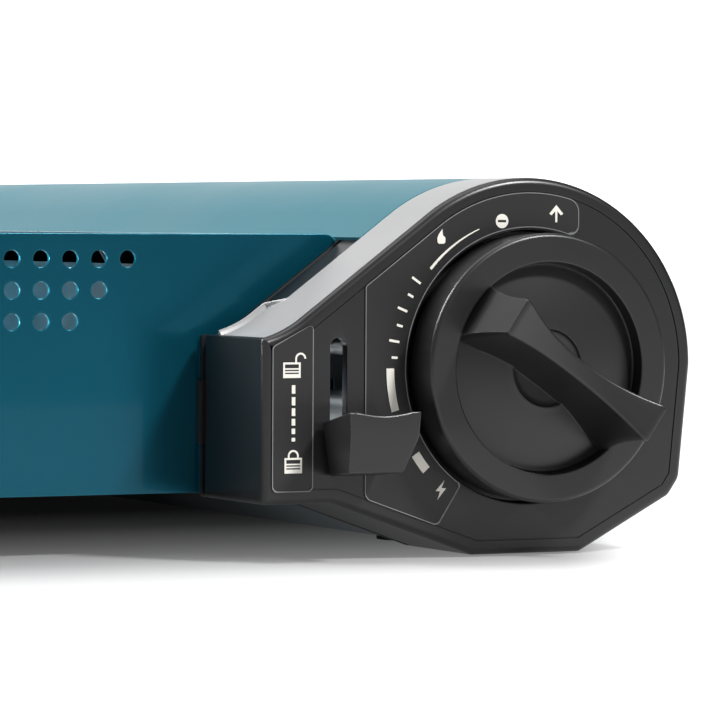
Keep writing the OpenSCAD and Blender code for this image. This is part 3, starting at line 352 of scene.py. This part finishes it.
def surface(name, colour, vary=0.12, rough=0.4, rough_vary=0.08, metallic=0.0, coat=0.0,
            coat_rough=0.05, grain=250.0, depth=0.01, broad=18.0, wear_and_painted_highlight=None, wear_and_painted_highlight_width=0.35,
            specular=0.5):
    """A procedural surface: broad and fine colour variation, roughness, bump, and edges lightened both as wear and
    as a painted highlight.
    grain is the fine pattern's count per metre, depth its height in millimetres."""
    material = bpy.data.materials.new(name)
    material.use_nodes = True
    tree = material.node_tree
    link = tree.links.new
    shader = tree.nodes["Principled BSDF"]
    shader.inputs["Metallic"].default_value = metallic
    shader.inputs["Coat Weight"].default_value = coat
    shader.inputs["Coat Roughness"].default_value = coat_rough
    shader.inputs["Specular IOR Level"].default_value = specular
    coords = node(tree, "ShaderNodeTexCoord")
    wide = node(tree, "ShaderNodeTexNoise", Scale=broad, Detail=3.0)
    fine = node(tree, "ShaderNodeTexNoise", Scale=grain, Detail=4.0)
    for texture in (wide, fine):
        link(coords.outputs["Object"], texture.inputs["Vector"])
    ramp = node(tree, "ShaderNodeValToRGB")
    dark = [c * (1 - vary) for c in colour]
    light = [min(1.0, c * (1 + vary)) for c in colour]
    ramp.color_ramp.elements[0].position, ramp.color_ramp.elements[1].position = 0.3, 0.7
    ramp.color_ramp.elements[0].color = (*dark, 1)
    ramp.color_ramp.elements[1].color = (*light, 1)
    link(wide.outputs["Fac"], ramp.inputs["Fac"])
    speck = node(tree, "ShaderNodeMix", data_type="RGBA", blend_type="MULTIPLY")
    speck.inputs[0].default_value = vary
    link(ramp.outputs["Color"], speck.inputs[6])
    link(fine.outputs["Color"], speck.inputs[7])
    last = speck.outputs[2]
    # lighter edges: partly wear, partly a painted highlight
    if wear_and_painted_highlight:
        last = add_wear_and_painted_highlight(tree, last, wear_and_painted_highlight, wear_and_painted_highlight_width, fine)
    link(last, shader.inputs["Base Color"])
    spread = node(tree, "ShaderNodeMapRange")
    spread.inputs["To Min"].default_value = max(0.02, rough - rough_vary)
    spread.inputs["To Max"].default_value = min(1.0, rough + rough_vary)
    link(wide.outputs["Fac"], spread.inputs["Value"])
    link(spread.outputs["Result"], shader.inputs["Roughness"])
    bump = node(tree, "ShaderNodeBump", Strength=1.0, Distance=depth * MM)
    link(fine.outputs["Fac"], bump.inputs["Height"])
    link(bump.outputs["Normal"], shader.inputs["Normal"])
    if coat:
        link(bump.outputs["Normal"], shader.inputs["Coat Normal"])
    return material


def add_wear_and_painted_highlight(tree, colour_socket, wear_and_painted_highlight, width, noise):
    """Mixes a lighter colour in along edges, where the rounded normal leaves the true one: wear, and a painted
    highlight on the edges
    """
    link = tree.links.new
    soft = node(tree, "ShaderNodeBevel", samples=4)
    soft.inputs["Radius"].default_value = width * MM
    geometry = node(tree, "ShaderNodeNewGeometry")
    dot = node(tree, "ShaderNodeVectorMath", operation="DOT_PRODUCT")
    link(soft.outputs["Normal"], dot.inputs[0])
    link(geometry.outputs["Normal"], dot.inputs[1])
    edge = node(tree, "ShaderNodeMapRange")
    edge.inputs["From Min"].default_value = 0.98
    edge.inputs["From Max"].default_value = 0.86
    edge.inputs["To Max"].default_value = wear_and_painted_highlight[1]
    link(dot.outputs["Value"], edge.inputs["Value"])
    broken = node(tree, "ShaderNodeMath", operation="MULTIPLY")
    link(edge.outputs["Result"], broken.inputs[0])
    link(noise.outputs["Fac"], broken.inputs[1])
    mix = node(tree, "ShaderNodeMix", data_type="RGBA")
    mix.inputs[7].default_value = (*wear_and_painted_highlight[0], 1)
    link(broken.outputs["Value"], mix.inputs[0])
    link(colour_socket, mix.inputs[6])
    return mix.outputs[2]


TEAL = (0.0025, 0.083, 0.13)
# Each edge colour below lightens the edges both as wear and as a painted highlight.
finishes = {
    "painted_steel": surface("painted_steel", TEAL, vary=0.05, rough=0.24, metallic=0.62,
                             coat=0.12, coat_rough=0.03, grain=260, depth=0.003, specular=0.2,
                             wear_and_painted_highlight=((0.03, 0.2, 0.26), 1.2), wear_and_painted_highlight_width=0.45),
    # cover and front panel share one teal paint; the cover's lighter teal is painted light from above on its slope
    "cover_paint": surface("cover_paint", (0.016, 0.118, 0.152), vary=0.05, rough=0.42,
                           metallic=0.15, coat=0.0, specular=0.3, grain=260, depth=0.003,
                           wear_and_painted_highlight=((0.03, 0.2, 0.26), 0.5), wear_and_painted_highlight_width=0.5),
    "galvanised": surface("galvanised", (0.56, 0.58, 0.6), vary=0.14, rough=0.38, metallic=1.0,
                          grain=120, depth=0.004, broad=60),
    "rubber_feet": surface("rubber_feet", (0.02, 0.02, 0.021), rough=0.75, grain=900, depth=0.02),
    "seal_rubber": surface("seal_rubber", (0.025, 0.025, 0.026), rough=0.7, grain=900,
                           depth=0.02),
    "screw_steel": surface("screw_steel", (0.62, 0.62, 0.6), rough=0.28, metallic=1.0, grain=500,
                           depth=0.004),
    "black_plastic": surface("black_plastic", (0.009, 0.009, 0.0095), vary=0.1, rough=0.34,
                             grain=1400, depth=0.003, wear_and_painted_highlight=((0.06, 0.06, 0.062), 0.5)),
    "knob_plastic": surface("knob_plastic", (0.009, 0.009, 0.0095), vary=0.1, rough=0.36,
                            grain=1100, depth=0.003, wear_and_painted_highlight=((0.1, 0.1, 0.103), 1.0),
                            wear_and_painted_highlight_width=0.3),
    "trim_silver": surface("trim_silver", (0.3, 0.3, 0.303), vary=0.03, rough=0.45, metallic=0.35,
                           grain=1800, depth=0.002),
    "label_black": surface("label_black", (0.0085, 0.0085, 0.009), vary=0.08, rough=0.42,
                           grain=1600, depth=0.004),
    "icon_print": surface("icon_print", (0.78, 0.755, 0.69), vary=0.04, rough=0.5, grain=2000,
                          depth=0.002),
    "brass": surface("brass", (0.62, 0.45, 0.17), rough=0.32, metallic=1.0, grain=400,
                     depth=0.006),
    "cam_plastic": surface("cam_plastic", (0.72, 0.7, 0.64), rough=0.45, grain=800, depth=0.004),
    "plunger_red": surface("plunger_red", (0.5, 0.04, 0.03), rough=0.4, grain=800, depth=0.004),
    "lead_red": surface("lead_red", (0.52, 0.03, 0.025), rough=0.5, grain=900, depth=0.006),
    "electrode_steel": surface("electrode_steel", (0.55, 0.54, 0.52), rough=0.35, metallic=1.0,
                               grain=900, depth=0.004),
    "ceramic": surface("ceramic", (0.84, 0.82, 0.77), vary=0.05, rough=0.22, coat=0.6, grain=500,
                       depth=0.004),
    "die_cast": surface("die_cast", (0.5, 0.51, 0.52), vary=0.1, rough=0.5, metallic=1.0,
                        grain=1200, depth=0.02),
    "burner_alloy": surface("burner_alloy", (0.6, 0.6, 0.61), vary=0.1, rough=0.46, metallic=1.0,
                            grain=1000, depth=0.015),
    "enamel": surface("enamel", (0.012, 0.012, 0.013), vary=0.1, rough=0.22, coat=0.7,
                      coat_rough=0.06, grain=320, depth=0.006, wear_and_painted_highlight=((0.06, 0.06, 0.062), 0.4)),
}
# pale grey for the labels' cut edges: a painted highlight
painted_highlight_edge = surface("label_painted_highlight_edge", (0.2, 0.2, 0.205), vary=0.25, rough=0.4, grain=1600,
                    depth=0.004)
slot_of = {row["node"]: row["material_slot"] for row in frame["record"]["subparts"]}
body_of = {n: body for body, nodes in frame["record"]["behaviour"]["bodies"].items()
           for n in nodes}


def stand_in(piece, *nodes):
    """piece takes the place and the body of CAD nodes, which are hidden"""
    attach(piece, body_of[nodes[0]])
    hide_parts(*nodes)
    return piece


# ---------------------------------------------------------------- control housing
SLOT_X, SLOT_HALF, SLOT_TOP, SLOT_LOW = -45.0, 1.9, 6.5, -19.4
HUB_R = 7.0


def slot_outline(grow=0.0):
    """The lever's slot with its round top"""
    r = SLOT_HALF + grow
    top = arc(SLOT_X, SLOT_TOP - SLOT_HALF, r, 0, math.pi, 16)
    low_left, low_right = (SLOT_X - r, SLOT_LOW - grow), (SLOT_X + r, SLOT_LOW - grow)
    return (top + rounded_corner(top[-1], low_left, low_right, 0.4, 3)
            + rounded_corner(low_left, low_right, top[0], 0.4, 3))


def circle(r, y, n=160):
    return [(x, y, z) for x, z in arc(0, 0, r, 0, 2 * math.pi, n)[:-1]]


def control_housing():
    shape = Shape()
    fillet = 1.5
    groove_in, groove_w, groove_t = 2.9, 0.34, 0.3
    wall, inner_y = 2.8, 2.2
    step = SHEET + 0.05
    in_trim = set(trim_path)
    flush, stepped = outline(0), outline(step)
    tucked = [stepped[i] if i in in_trim else flush[i] for i in range(POINT_COUNT)]
    raised = outline(0.12)
    eased = [raised[i] if i in in_trim else flush[i] for i in range(POINT_COUNT)]

    def ring(d, y):
        return [(x, y, z) for x, z in outline(d)]

    def stepped_ring(y):
        return [(x, y, z) for x, z in tucked]

    front = [ring(groove_in + groove_w, 0.0), ring(groove_in + groove_w - 0.08, groove_t),
             ring(groove_in + 0.08, groove_t), ring(groove_in, 0.0)]
    front += [ring(fillet * (1 - math.sin(a)), fillet * (1 - math.cos(a)))
              for a in [math.pi / 2 * i / 6 for i in range(7)]]
    groove_y, gap_in = Y_PANEL - 2.8, 1.3
    front += [ring(0, TRIM_FRONT - 0.15), [(x, TRIM_FRONT, z) for x, z in eased],
              stepped_ring(TRIM_FRONT + 0.02), stepped_ring(groove_y),
              ring(gap_in, groove_y + 0.1), ring(gap_in, Y_PANEL - 1.0),
              stepped_ring(Y_PANEL - 0.9), stepped_ring(Y_PANEL - 0.02), ring(wall, Y_PANEL),
              ring(wall, inner_y)]
    ids = shape.sweep(front)
    well = [(WELL_R + 0.45, 0.0), (WELL_R + 0.13, 0.12), (WELL_R, 0.45),
            (WELL_R, WELL_DEPTH - 0.3), (WELL_R - 0.3, WELL_DEPTH), (HUB_R + 0.2, WELL_DEPTH),
            (HUB_R, WELL_DEPTH + 0.2), (HUB_R, 6.0), (WELL_R + 2, 6.0), (WELL_R + 2, inner_y)]
    well_ids = shape.sweep([circle(r, y) for r, y in well])
    slot_rings = [[(x, y, z) for x, z in slot_outline(g)] for g, y in
                  ((0.35, 0.0), (0.08, 0.1), (0.0, 0.35), (0.0, inner_y))]
    slot_ids = shape.sweep(slot_rings)
    shape.fill(ids[0], well_ids[0], slot_ids[0])
    shape.fill(ids[-1], well_ids[-1], slot_ids[-1])
    for x, z in ((X_HOUSING + 5.4, case_low.z + 6), (X_HOUSING + 5.4, -3.0),
                 (-38.0, case_low.z + 32.5)):
        tube_y(shape, (x, z), BOSS_R, BOSS_HOLE_R, inner_y, Y_PANEL - 0.1)
    prism(shape, [(X_HOUSING - 1.0, -16.4), (X_HOUSING + wall, -16.4), (X_HOUSING + wall, -3.2),
                  (X_HOUSING - 1.0, -3.2)], Y_PANEL - 1.9, Y_PANEL - 0.05)
    piece = shape.build("control_housing_shell", finishes["black_plastic"], smooth=28)
    return stand_in(piece, "control_housing")


def silver_trim():
    shape = Shape()

    def section(i):
        lip = 0.0
        if LIP_FIRST <= i <= TRIM_LAST:
            lip = min(1.0, (i - LIP_FIRST) / 3)
        back = TRIM_BACK - COVER_REACH * (1 - lip)
        return [(TRIM_FRONT + 0.05, SHEET), (TRIM_FRONT + 0.05, 0.2), (TRIM_FRONT + 0.12, 0.06),
                (TRIM_FRONT + 0.3, 0.0), (back - 1.85, 0.0), (back - 1.7, 0.28 * lip),
                (back - 1.45, 0.28 * lip), (back - 1.3, 0.0), (back - 1.1, -0.45 * lip),
                (back - 0.85, -0.85 * lip), (back - 0.55, -1.0 * lip), (back - 0.25, -0.9 * lip),
                (back - 0.06, -0.55 * lip + 0.06), (back, 0.25), (back, SHEET)]

    strip_along_outline(shape, trim_path, section)
    return stand_in(shape.build("silver_trim_strip", finishes["trim_silver"], smooth=40),
                    "silver_trim")


def cartridge_cover():
    shape = Shape()
    front, back, t = cover_low.y - COVER_REACH, cover_high.y, SHEET
    edge = [(front, 0.3), (front + 0.08, 0.08), (front + 0.3, 0.0), (front + 90, 0.0),
            (front + 180, 0.0), (back - 0.3, 0.0), (back - 0.08, 0.08), (back, 0.3), (back, t),
            (front, t)]
    strip_along_outline(shape, cover_path, lambda i: edge)
    hinge = Vector(joint_of["cover_hinge"]["pos_m"])
    hx, hz = (hinge.x - DIAL.x) / MM, (hinge.z - DIAL.z) / MM
    barrel_r, pin_r, length, gap = 2.3, 1.25, 5.0, 0.4
    x_edge = slope_at(COVER_EDGE_Z)
    for y in (Y_PANEL + 12, back - 24):
        y0, y1 = y + length + gap, y + 2 * length
        tube_y(shape, (hx, hz), barrel_r, pin_r, y0, y1)
        prism(shape,
              [(hx + 0.2, hz + barrel_r), (hx + barrel_r - 0.05, hz),
               (x_edge + 1.6, COVER_EDGE_Z - 0.7), (x_edge + 2, COVER_EDGE_Z + 0.9),
               (x_edge + 0.4, COVER_EDGE_Z + 0.1)], y0, y1)
    middle = (Y_PANEL + back) / 2
    x_free = line_x(COVER_LOW_Z, 0.0)
    lip = [(x_free - t, COVER_LOW_Z + 1.5), (x_free - t, COVER_LOW_Z - 2.4),
           (x_free - t + 0.35, COVER_LOW_Z - 3), (x_free - 0.25, COVER_LOW_Z - 2.8),
           (x_free, COVER_LOW_Z - 2.2), (x_free - 0.05, COVER_LOW_Z + 1.5)]
    prism(shape, lip, middle - 20, middle + 20)
    piece = shape.build("cartridge_cover_sheet", finishes["cover_paint"], smooth=40)
    return stand_in(piece, "cartridge_cover")


def label_plate(name, edge_line, face):
    """A sticker whose cut edge stands just proud of its printed face; the edge is coloured pale as a painted
    highlight
    """
    shape = Shape()
    y_front, y_back = label_low.y, 0.0
    levels = ((0.0, y_back), (0.0, y_front - 0.02), (EDGE_LINE, y_front - 0.02),
              (EDGE_LINE + 0.06, y_front + 0.04))
    rings = [[(x, y, z) for x, z in edge_line(d)] for d, y in levels]
    ids = shape.sweep(rings)
    shape.fill(ids[0])
    shape.fill(ids[-1])
    piece = shape.build(name, finishes["label_black"], smooth=40)
    piece.data.materials.append(painted_highlight_edge)
    # the edge's side faces get the pale colour: a painted highlight
    for polygon in piece.data.polygons:
        if polygon.center.y < DIAL.y + (y_front - 0.01) * MM and len(polygon.vertices) == 4:
            polygon.material_index = 1
    return stand_in(piece, face)


def lock_label_line(d):
    return rounded([(-60.4 + d, -25.3 + d, 1.2), (-51 - d, -25.3 + d, 1.2),
                    (-51 - d, 9.5 - d * 0.8, 0.8 - d), (-60.4 + d, 4.8 - d * 0.8, 1.0)], 8)


def dial_label_line(d):
    """The big label's line, inset by d: round edge, slope, left side, foot, end, then the well"""
    r_out, r_in = END_R - LABEL_INSET - d, LABEL_WELL_R + d
    x_left, x_right, corner_r = -39.0 + d, 11.8 - d, 3.0 - d
    a_out = math.acos((x_right - corner_r) / (r_out - corner_r))
    c_out = (x_right - corner_r, (r_out - corner_r) * math.sin(a_out))
    a_in = math.acos((x_right - 2.0) / (r_in + 2.0))
    c_in = (x_right - 2.0, (r_in + 2.0) * math.sin(a_in))
    points = arc(*c_in, 2.0, a_in + math.pi, 2 * math.pi, 8) + arc(*c_out, corner_r, 0, a_out, 8)
    points += arc(0, 0, r_out, a_out, math.pi / 2 + SLOPE, 60)[1:]
    shift = LABEL_INSET + d
    at = (tangent[0] + shift * math.sin(SLOPE), tangent[1] - shift * math.cos(SLOPE))
    z_turn = at[1] - (at[0] - x_left) * math.tan(SLOPE)
    lower = [(x, z) for x, z, r in inset_corners(shift)]
    foot = Vector(lower[1]), Vector(lower[2])
    z_foot = foot[0].y + (foot[1].y - foot[0].y) * (x_left - foot[0].x) / (foot[1].x - foot[0].x)
    x_end = -21.8 - d
    z_end = foot[0].y + (foot[1].y - foot[0].y) * (x_end - foot[0].x) / (foot[1].x - foot[0].x)
    inner = math.radians(236.5) - d / r_in
    well_end = (r_in * math.cos(inner), r_in * math.sin(inner))
    corners = [at, (x_left, z_turn), (x_left, z_foot), (x_end, z_end), well_end,
               (r_in * math.cos(inner - 0.2), r_in * math.sin(inner - 0.2))]
    for i, r in zip(range(1, 5), (0.8, 2.0, 1.4, 0.9)):
        points += rounded_corner(corners[i - 1], corners[i], corners[i + 1], r, 6)
    points += arc(0, 0, r_in, inner - 0.04, a_in, 100)[:-1]
    return points


# ---------------------------------------------------------------- dial
def dial_knob():
    shape = Shape()
    front = -DIAL_H
    dome = [(8.75 + (21.1 - 8.75) * i / 10, front + 1.15 + 1.95 * (i / 10) ** 1.25)
            for i in range(11)]
    rim_in, rim_out = 22.4, DIAL_R
    profile = [(0, front + 1.75), (3, front + 1.75), (6.8, front + 1.62), (7.7, front + 1.5),
               (8.05, front + 1.3), (8.25, front + 1.12), (8.5, front + 1.09)]
    profile += dome
    profile += [(21.4, front + 3.2), (21.75, front + 3.2), (22.0, front + 3.0),
                (rim_in - 0.16, front + 0.3), (rim_in - 0.12, front + 0.18),
                (rim_in - 0.02, front + 0.07), (rim_in + 0.1, front + 0.02),
                (rim_in + 0.25, front), (rim_out - 1.0, front), (rim_out - 0.72, front + 0.05),
                (rim_out - 0.45, front + 0.19), (rim_out - 0.22, front + 0.42),
                (rim_out - 0.07, front + 0.7), (rim_out - 0.02, front + 1.0),
                (rim_out - 0.3, 0.0), (rim_out - 0.5, 0.3), (rim_out - 2.5, 0.3),
                (rim_out - 2.6, front + 5.4), (6.4, front + 5.4), (6.4, 2.2), (4.05, 2.2),
                (4.05, front + 2.6), (0, front + 2.6)]
    lathe_y(shape, profile, 192)
    grip(shape)
    piece = shape.build("dial_knob_moulding", finishes["knob_plastic"], smooth=32)
    return stand_in(piece, "dial_knob")


def grip(shape):
    """Bow-tie finger grip with a narrow waist, a saddle-shaped front and drafted sides"""
    half_len, end_w, waist_w = 20.3, 4.6, 2.0
    y_ends, y_waist, y_base = knob_low.y, knob_low.y + 3.7, -DIAL_H + 2.2
    draft_end, draft_waist = 2.4, 2.2
    steps, edge_r = 44, 0.55
    us = [-half_len + 2 * half_len * i / steps for i in range(steps + 1)]
    rings = []
    for u in [-half_len + 0.02] + us[1:-1] + [half_len - 0.02]:
        s = abs(u) / half_len
        w = waist_w + (end_w - waist_w) * s ** 2.2
        end_fall = max(0.0, (abs(u) - (half_len - 0.9)) / 0.9)
        w -= 0.5 * end_fall ** 2
        y_top = y_waist + (y_ends - y_waist) * s ** 2 + 0.45 * end_fall ** 2
        flare = draft_waist + (draft_end - draft_waist) * s
        side = []
        for k in range(9):
            v = k / 8
            y = y_base + (y_top + edge_r - y_base) * v
            side.append((w + flare * (1 - v) ** 2.6 + 0.25 * (1 - v), y))
        turn = [(w - edge_r + edge_r * math.cos(a), y_top + edge_r - edge_r * math.sin(a))
                for a in (math.radians(30), math.radians(60), math.radians(90))]
        half = side + turn
        stretch = [(u * (1 + 0.075 * max(0.0, 1 - (y - y_base) / (y_top - y_base)) ** 2.2), p, y)
                   for p, y in half]
        a_end, p_end, y_end = stretch[-1]
        across = [(a_end, p_end * f, y_end) for f in (0.5, 0.0, -0.5)]
        ring = stretch + across + [(a, -p, y) for a, p, y in reversed(stretch)]
        rings.append([(a * math.cos(POINTER) - p * math.sin(POINTER), y,
                       a * math.sin(POINTER) + p * math.cos(POINTER)) for a, p, y in ring])
    ids = shape.sweep(rings)
    shape.cap(ids[0])
    shape.cap(list(reversed(ids[-1])))


# ---------------------------------------------------------------- lock lever
def lock_lever():
    shape = Shape()
    x0, x1, z0, z1 = lever_low.x, lever_high.x, lever_low.z, lever_high.z
    crease_z = z0 + 0.57 * (z1 - z0)
    dips = [(x1 - 0.9 - (x1 - x0 - 1.6) * i / 12, z1 - 0.95 * math.sin(math.pi * i / 12) ** 1.3)
            for i in range(1, 12)]
    corners = [(x0, z0), (x1 - 3.9, z0), (x1 - 0.5, crease_z), (x1, z1 - 0.1)] + dips + [(x0, z1)]
    y_front, y_back = lever_low.y, -1.0

    def ring(y, drop=0.0, tuck=0.0, fold=0.0):
        """Outline of the head at depth y: top dropped, lower left tucked in, lower face folded"""
        points = []
        for x, z in corners:
            up = (z - z0) / (z1 - z0)
            left = (x1 - x) / (x1 - x0)
            lean = fold * max(0.0, crease_z - z) / (crease_z - z0)
            points.append((x + tuck * (1 - up) * left, y + lean, z - drop * (0.45 + 0.55 * up)))
        return points

    ids = shape.sweep([ring(y_back, 2.8, 1.9), ring(y_front, fold=0.5)])
    shape.fill(ids[0])
    front = ids[-1]
    upper = [i for i in front if shape.points[i].z >= crease_z - 1e-6]
    left_crease = shape.ring([(x0, y_front, crease_z)])[0]
    right_crease = front[2]
    shape.fills.append(([front[0], front[1], right_crease, left_crease],))
    shape.fills.append(([left_crease, right_crease] + [i for i in upper if i != right_crease],))
    piece = shape.build("lock_lever_head", finishes["knob_plastic"], smooth=30, bevel=0.4,
                        segments=3)
    return stand_in(piece, "lock_lever")


# ---------------------------------------------------------------- CAD nodes that stay
for name, cad in frame["nodes"].items():
    cad.data.materials.clear()
    cad.data.materials.append(finishes[slot_of[name]])

EDGE_ROUND = {"case_body": 0.28, "foot_front_left": 0.5, "foot_rear_left": 0.5,
              "foot_front_right": 0.5, "foot_rear_right": 0.5, "pan_support": 0.6,
              "drip_pan": 0.3, "burner_cap": 0.25, "lever_arm": 0.25, "burner_body": 0.3,
              "hinge_brackets": 0.2, "bay_tray": 0.2, "bay_end_plate": 0.2, "carriage": 0.2,
              "carriage_saddles": 0.3, "regulator_body": 0.4, "diaphragm_cover": 0.4,
              "igniter_body": 0.3}


def soften(cad, width):
    """Welds a CAD node's split corners and rounds its sharp edges; its own mesh stays as it is"""
    weld = cad.modifiers.new("weld", "WELD")
    weld.merge_threshold = 1e-6
    if width:
        add = cad.modifiers.new("edge_round", "BEVEL")
        add.width = width * MM
        add.segments = 2
        add.limit_method = "ANGLE"
        add.angle_limit = math.radians(32)


control_housing()
silver_trim()
cartridge_cover()
label_plate("lock_label_plate", lock_label_line, "lock_label")
label_plate("dial_label_plate", dial_label_line, "dial_label")
dial_knob()
lock_lever()
for name, width in EDGE_ROUND.items():
    soften(frame["nodes"][name], width)

# ---------------------------------------------------------------- camera, floor and light
TURN, TILT, ROLL, FOCAL = 0.469, 0.032, 0.005, 218.18
CAMERA_BACK = Vector((-0.44918, -0.80785, 0.03062))
SHIFT_LEFT, SHIFT_UP = 0.00025, 0.0002


def camera():
    forward = Vector((math.sin(TURN) * math.cos(TILT), math.cos(TURN) * math.cos(TILT),
                      -math.sin(TILT)))
    right = Vector((math.cos(TURN), -math.sin(TURN), 0))
    up = right.cross(forward)
    right2 = math.cos(ROLL) * right + math.sin(ROLL) * up
    up2 = -math.sin(ROLL) * right + math.cos(ROLL) * up
    data = bpy.data.cameras.new("camera")
    data.lens, data.sensor_width = FOCAL, 36.0
    data.clip_start, data.clip_end = 0.01, 50.0
    cam = bpy.data.objects.new("camera", data)
    place = Matrix((right2, up2, -forward)).transposed().to_4x4()
    place.translation = DIAL + CAMERA_BACK - right2 * SHIFT_LEFT + up2 * SHIFT_UP
    cam.matrix_world = place
    bpy.context.scene.collection.objects.link(cam)
    bpy.context.scene.camera = cam


def card(name, corners, colour, glow=0.0, hidden=False):
    """A flat stage card; glow is its light, and a hidden one shows only in reflections"""
    mesh = bpy.data.meshes.new(name)
    mesh.from_pydata([Vector(c) for c in corners], [], [tuple(range(len(corners)))])
    material = bpy.data.materials.new(name)
    material.use_nodes = True
    shader = material.node_tree.nodes["Principled BSDF"]
    shader.inputs["Base Color"].default_value = (*colour, 1)
    shader.inputs["Roughness"].default_value = 0.9
    shader.inputs["Emission Color"].default_value = (1, 1, 1, 1)
    shader.inputs["Emission Strength"].default_value = glow
    mesh.materials.append(material)
    made = bpy.data.objects.new(name, mesh)
    made.visible_camera = not hidden
    bpy.context.scene.collection.objects.link(made)
    return made


def softbox(name, spot, target, size, power, tall=None):
    light = bpy.data.lights.new(name, "AREA")
    light.shape = "RECTANGLE"
    light.size, light.size_y = size, tall or size
    light.energy = power
    lamp = bpy.data.objects.new(name, light)
    lamp.location = spot
    lamp.rotation_mode = "QUATERNION"
    lamp.rotation_quaternion = (Vector(target) - Vector(spot)).to_track_quat("-Z", "Y")
    bpy.context.scene.collection.objects.link(lamp)
    return lamp


def pool_of_light(floor, steps, fade):
    """Painted floor light along Y: a painted shadow, dim under the body, and white farther out; fade is where
    along the camera's right the dim part ends"""
    tree = floor.data.materials[0].node_tree
    link = tree.links.new
    coords = node(tree, "ShaderNodeTexCoord")
    parts = node(tree, "ShaderNodeSeparateXYZ")
    link(coords.outputs["Object"], parts.inputs[0])
    span = node(tree, "ShaderNodeMapRange")
    first, last = steps[0][0], steps[-1][0]
    span.inputs["From Min"].default_value, span.inputs["From Max"].default_value = first, last
    link(parts.outputs["Y"], span.inputs["Value"])
    ramp = node(tree, "ShaderNodeValToRGB")
    link(span.outputs["Result"], ramp.inputs["Fac"])
    ends = ramp.color_ramp.elements
    for i, (y, value) in enumerate(steps):
        stop = ends[0] if i == 0 else (ends[-1] if i == len(steps) - 1
                                       else ends.new((y - first) / (last - first)))
        stop.color = (value, value, value, 1)
    side = node(tree, "ShaderNodeVectorMath", operation="DOT_PRODUCT")
    side.inputs[1].default_value = (math.cos(TURN), -math.sin(TURN), 0)
    link(coords.outputs["Object"], side.inputs[0])
    beyond = node(tree, "ShaderNodeMapRange", interpolation_type="SMOOTHSTEP")
    beyond.inputs["From Min"].default_value, beyond.inputs["From Max"].default_value = fade
    link(side.outputs["Value"], beyond.inputs["Value"])
    mix = node(tree, "ShaderNodeMix", data_type="RGBA")
    mix.inputs[7].default_value = (1, 1, 1, 1)
    link(beyond.outputs["Result"], mix.inputs[0])
    link(ramp.outputs["Color"], mix.inputs[6])
    shader = tree.nodes["Principled BSDF"]
    link(mix.outputs[2], shader.inputs["Emission Color"])
    shader.inputs["Emission Strength"].default_value = 1.0


def studio():
    edge = -0.80
    floor = card("floor", [(-3, edge, 0), (3, edge, 0), (3, 3.5, 0), (-3, 3.5, 0)],
                 (0.2, 0.2, 0.2))
    # the floor's glow paints the shadow under the body and the light pooled in front
    pool_of_light(floor,
                  ((edge, 1.0), (-0.3, 1.0), (-0.224, 0.85), (-0.183, 0.6), (-0.138, 0.22),
                   (-0.087, 0.09), (-0.03, 0.02), (0.02, 0.003), (0.5, 0.003), (0.9, 1.0),
                   (3.5, 1.0)), (0.186, 0.21))
    # a dark card under the body, standing in for the shade there: painted shade
    card("under_shade", [(-0.16, 0.12, 0.0005), (0.13, 0.12, 0.0005), (0.13, 0.12, 0.0125),
                         (-0.16, 0.12, 0.0125)], (0.02, 0.02, 0.02))
    card("backdrop", [(-3, 3.5, -0.1), (3, 3.5, -0.1), (3, 3.5, 2.2), (-3, 3.5, 2.2)],
         (0.9, 0.9, 0.9), glow=1.0)
    card("grey_card",
         [(-2.6, -1.9, -1.6), (3.4, -1.9, -1.6), (3.4, -1.9, 2.0), (-2.6, -1.9, 2.0)],
         (0.01, 0.01, 0.01), glow=0.24, hidden=True)
    world = bpy.data.worlds.new("studio")
    world.use_nodes = True
    world.node_tree.nodes["Background"].inputs["Color"].default_value = (1, 1, 1, 1)
    world.node_tree.nodes["Background"].inputs["Strength"].default_value = 0.07
    bpy.context.scene.world = world
    centre = DIAL
    softbox("key", centre + Vector((0.5, -0.78, 0.98)), centre, 0.2, 24.0)
    softbox("slope_light", (-0.75, 0.25, 0.85), (0.08, 0.0, 0.05), 0.5, 22.0)
    softbox("inside", (-0.035, -0.085, 0.052), (0.07, -0.075, 0.045), 0.02, 0.5)
    softbox("top", (0.1, 0.2, 1.4), (0, 0, 0), 1.2, 10.0)
    bpy.context.scene.view_settings.view_transform = "Standard"


camera()
studio()
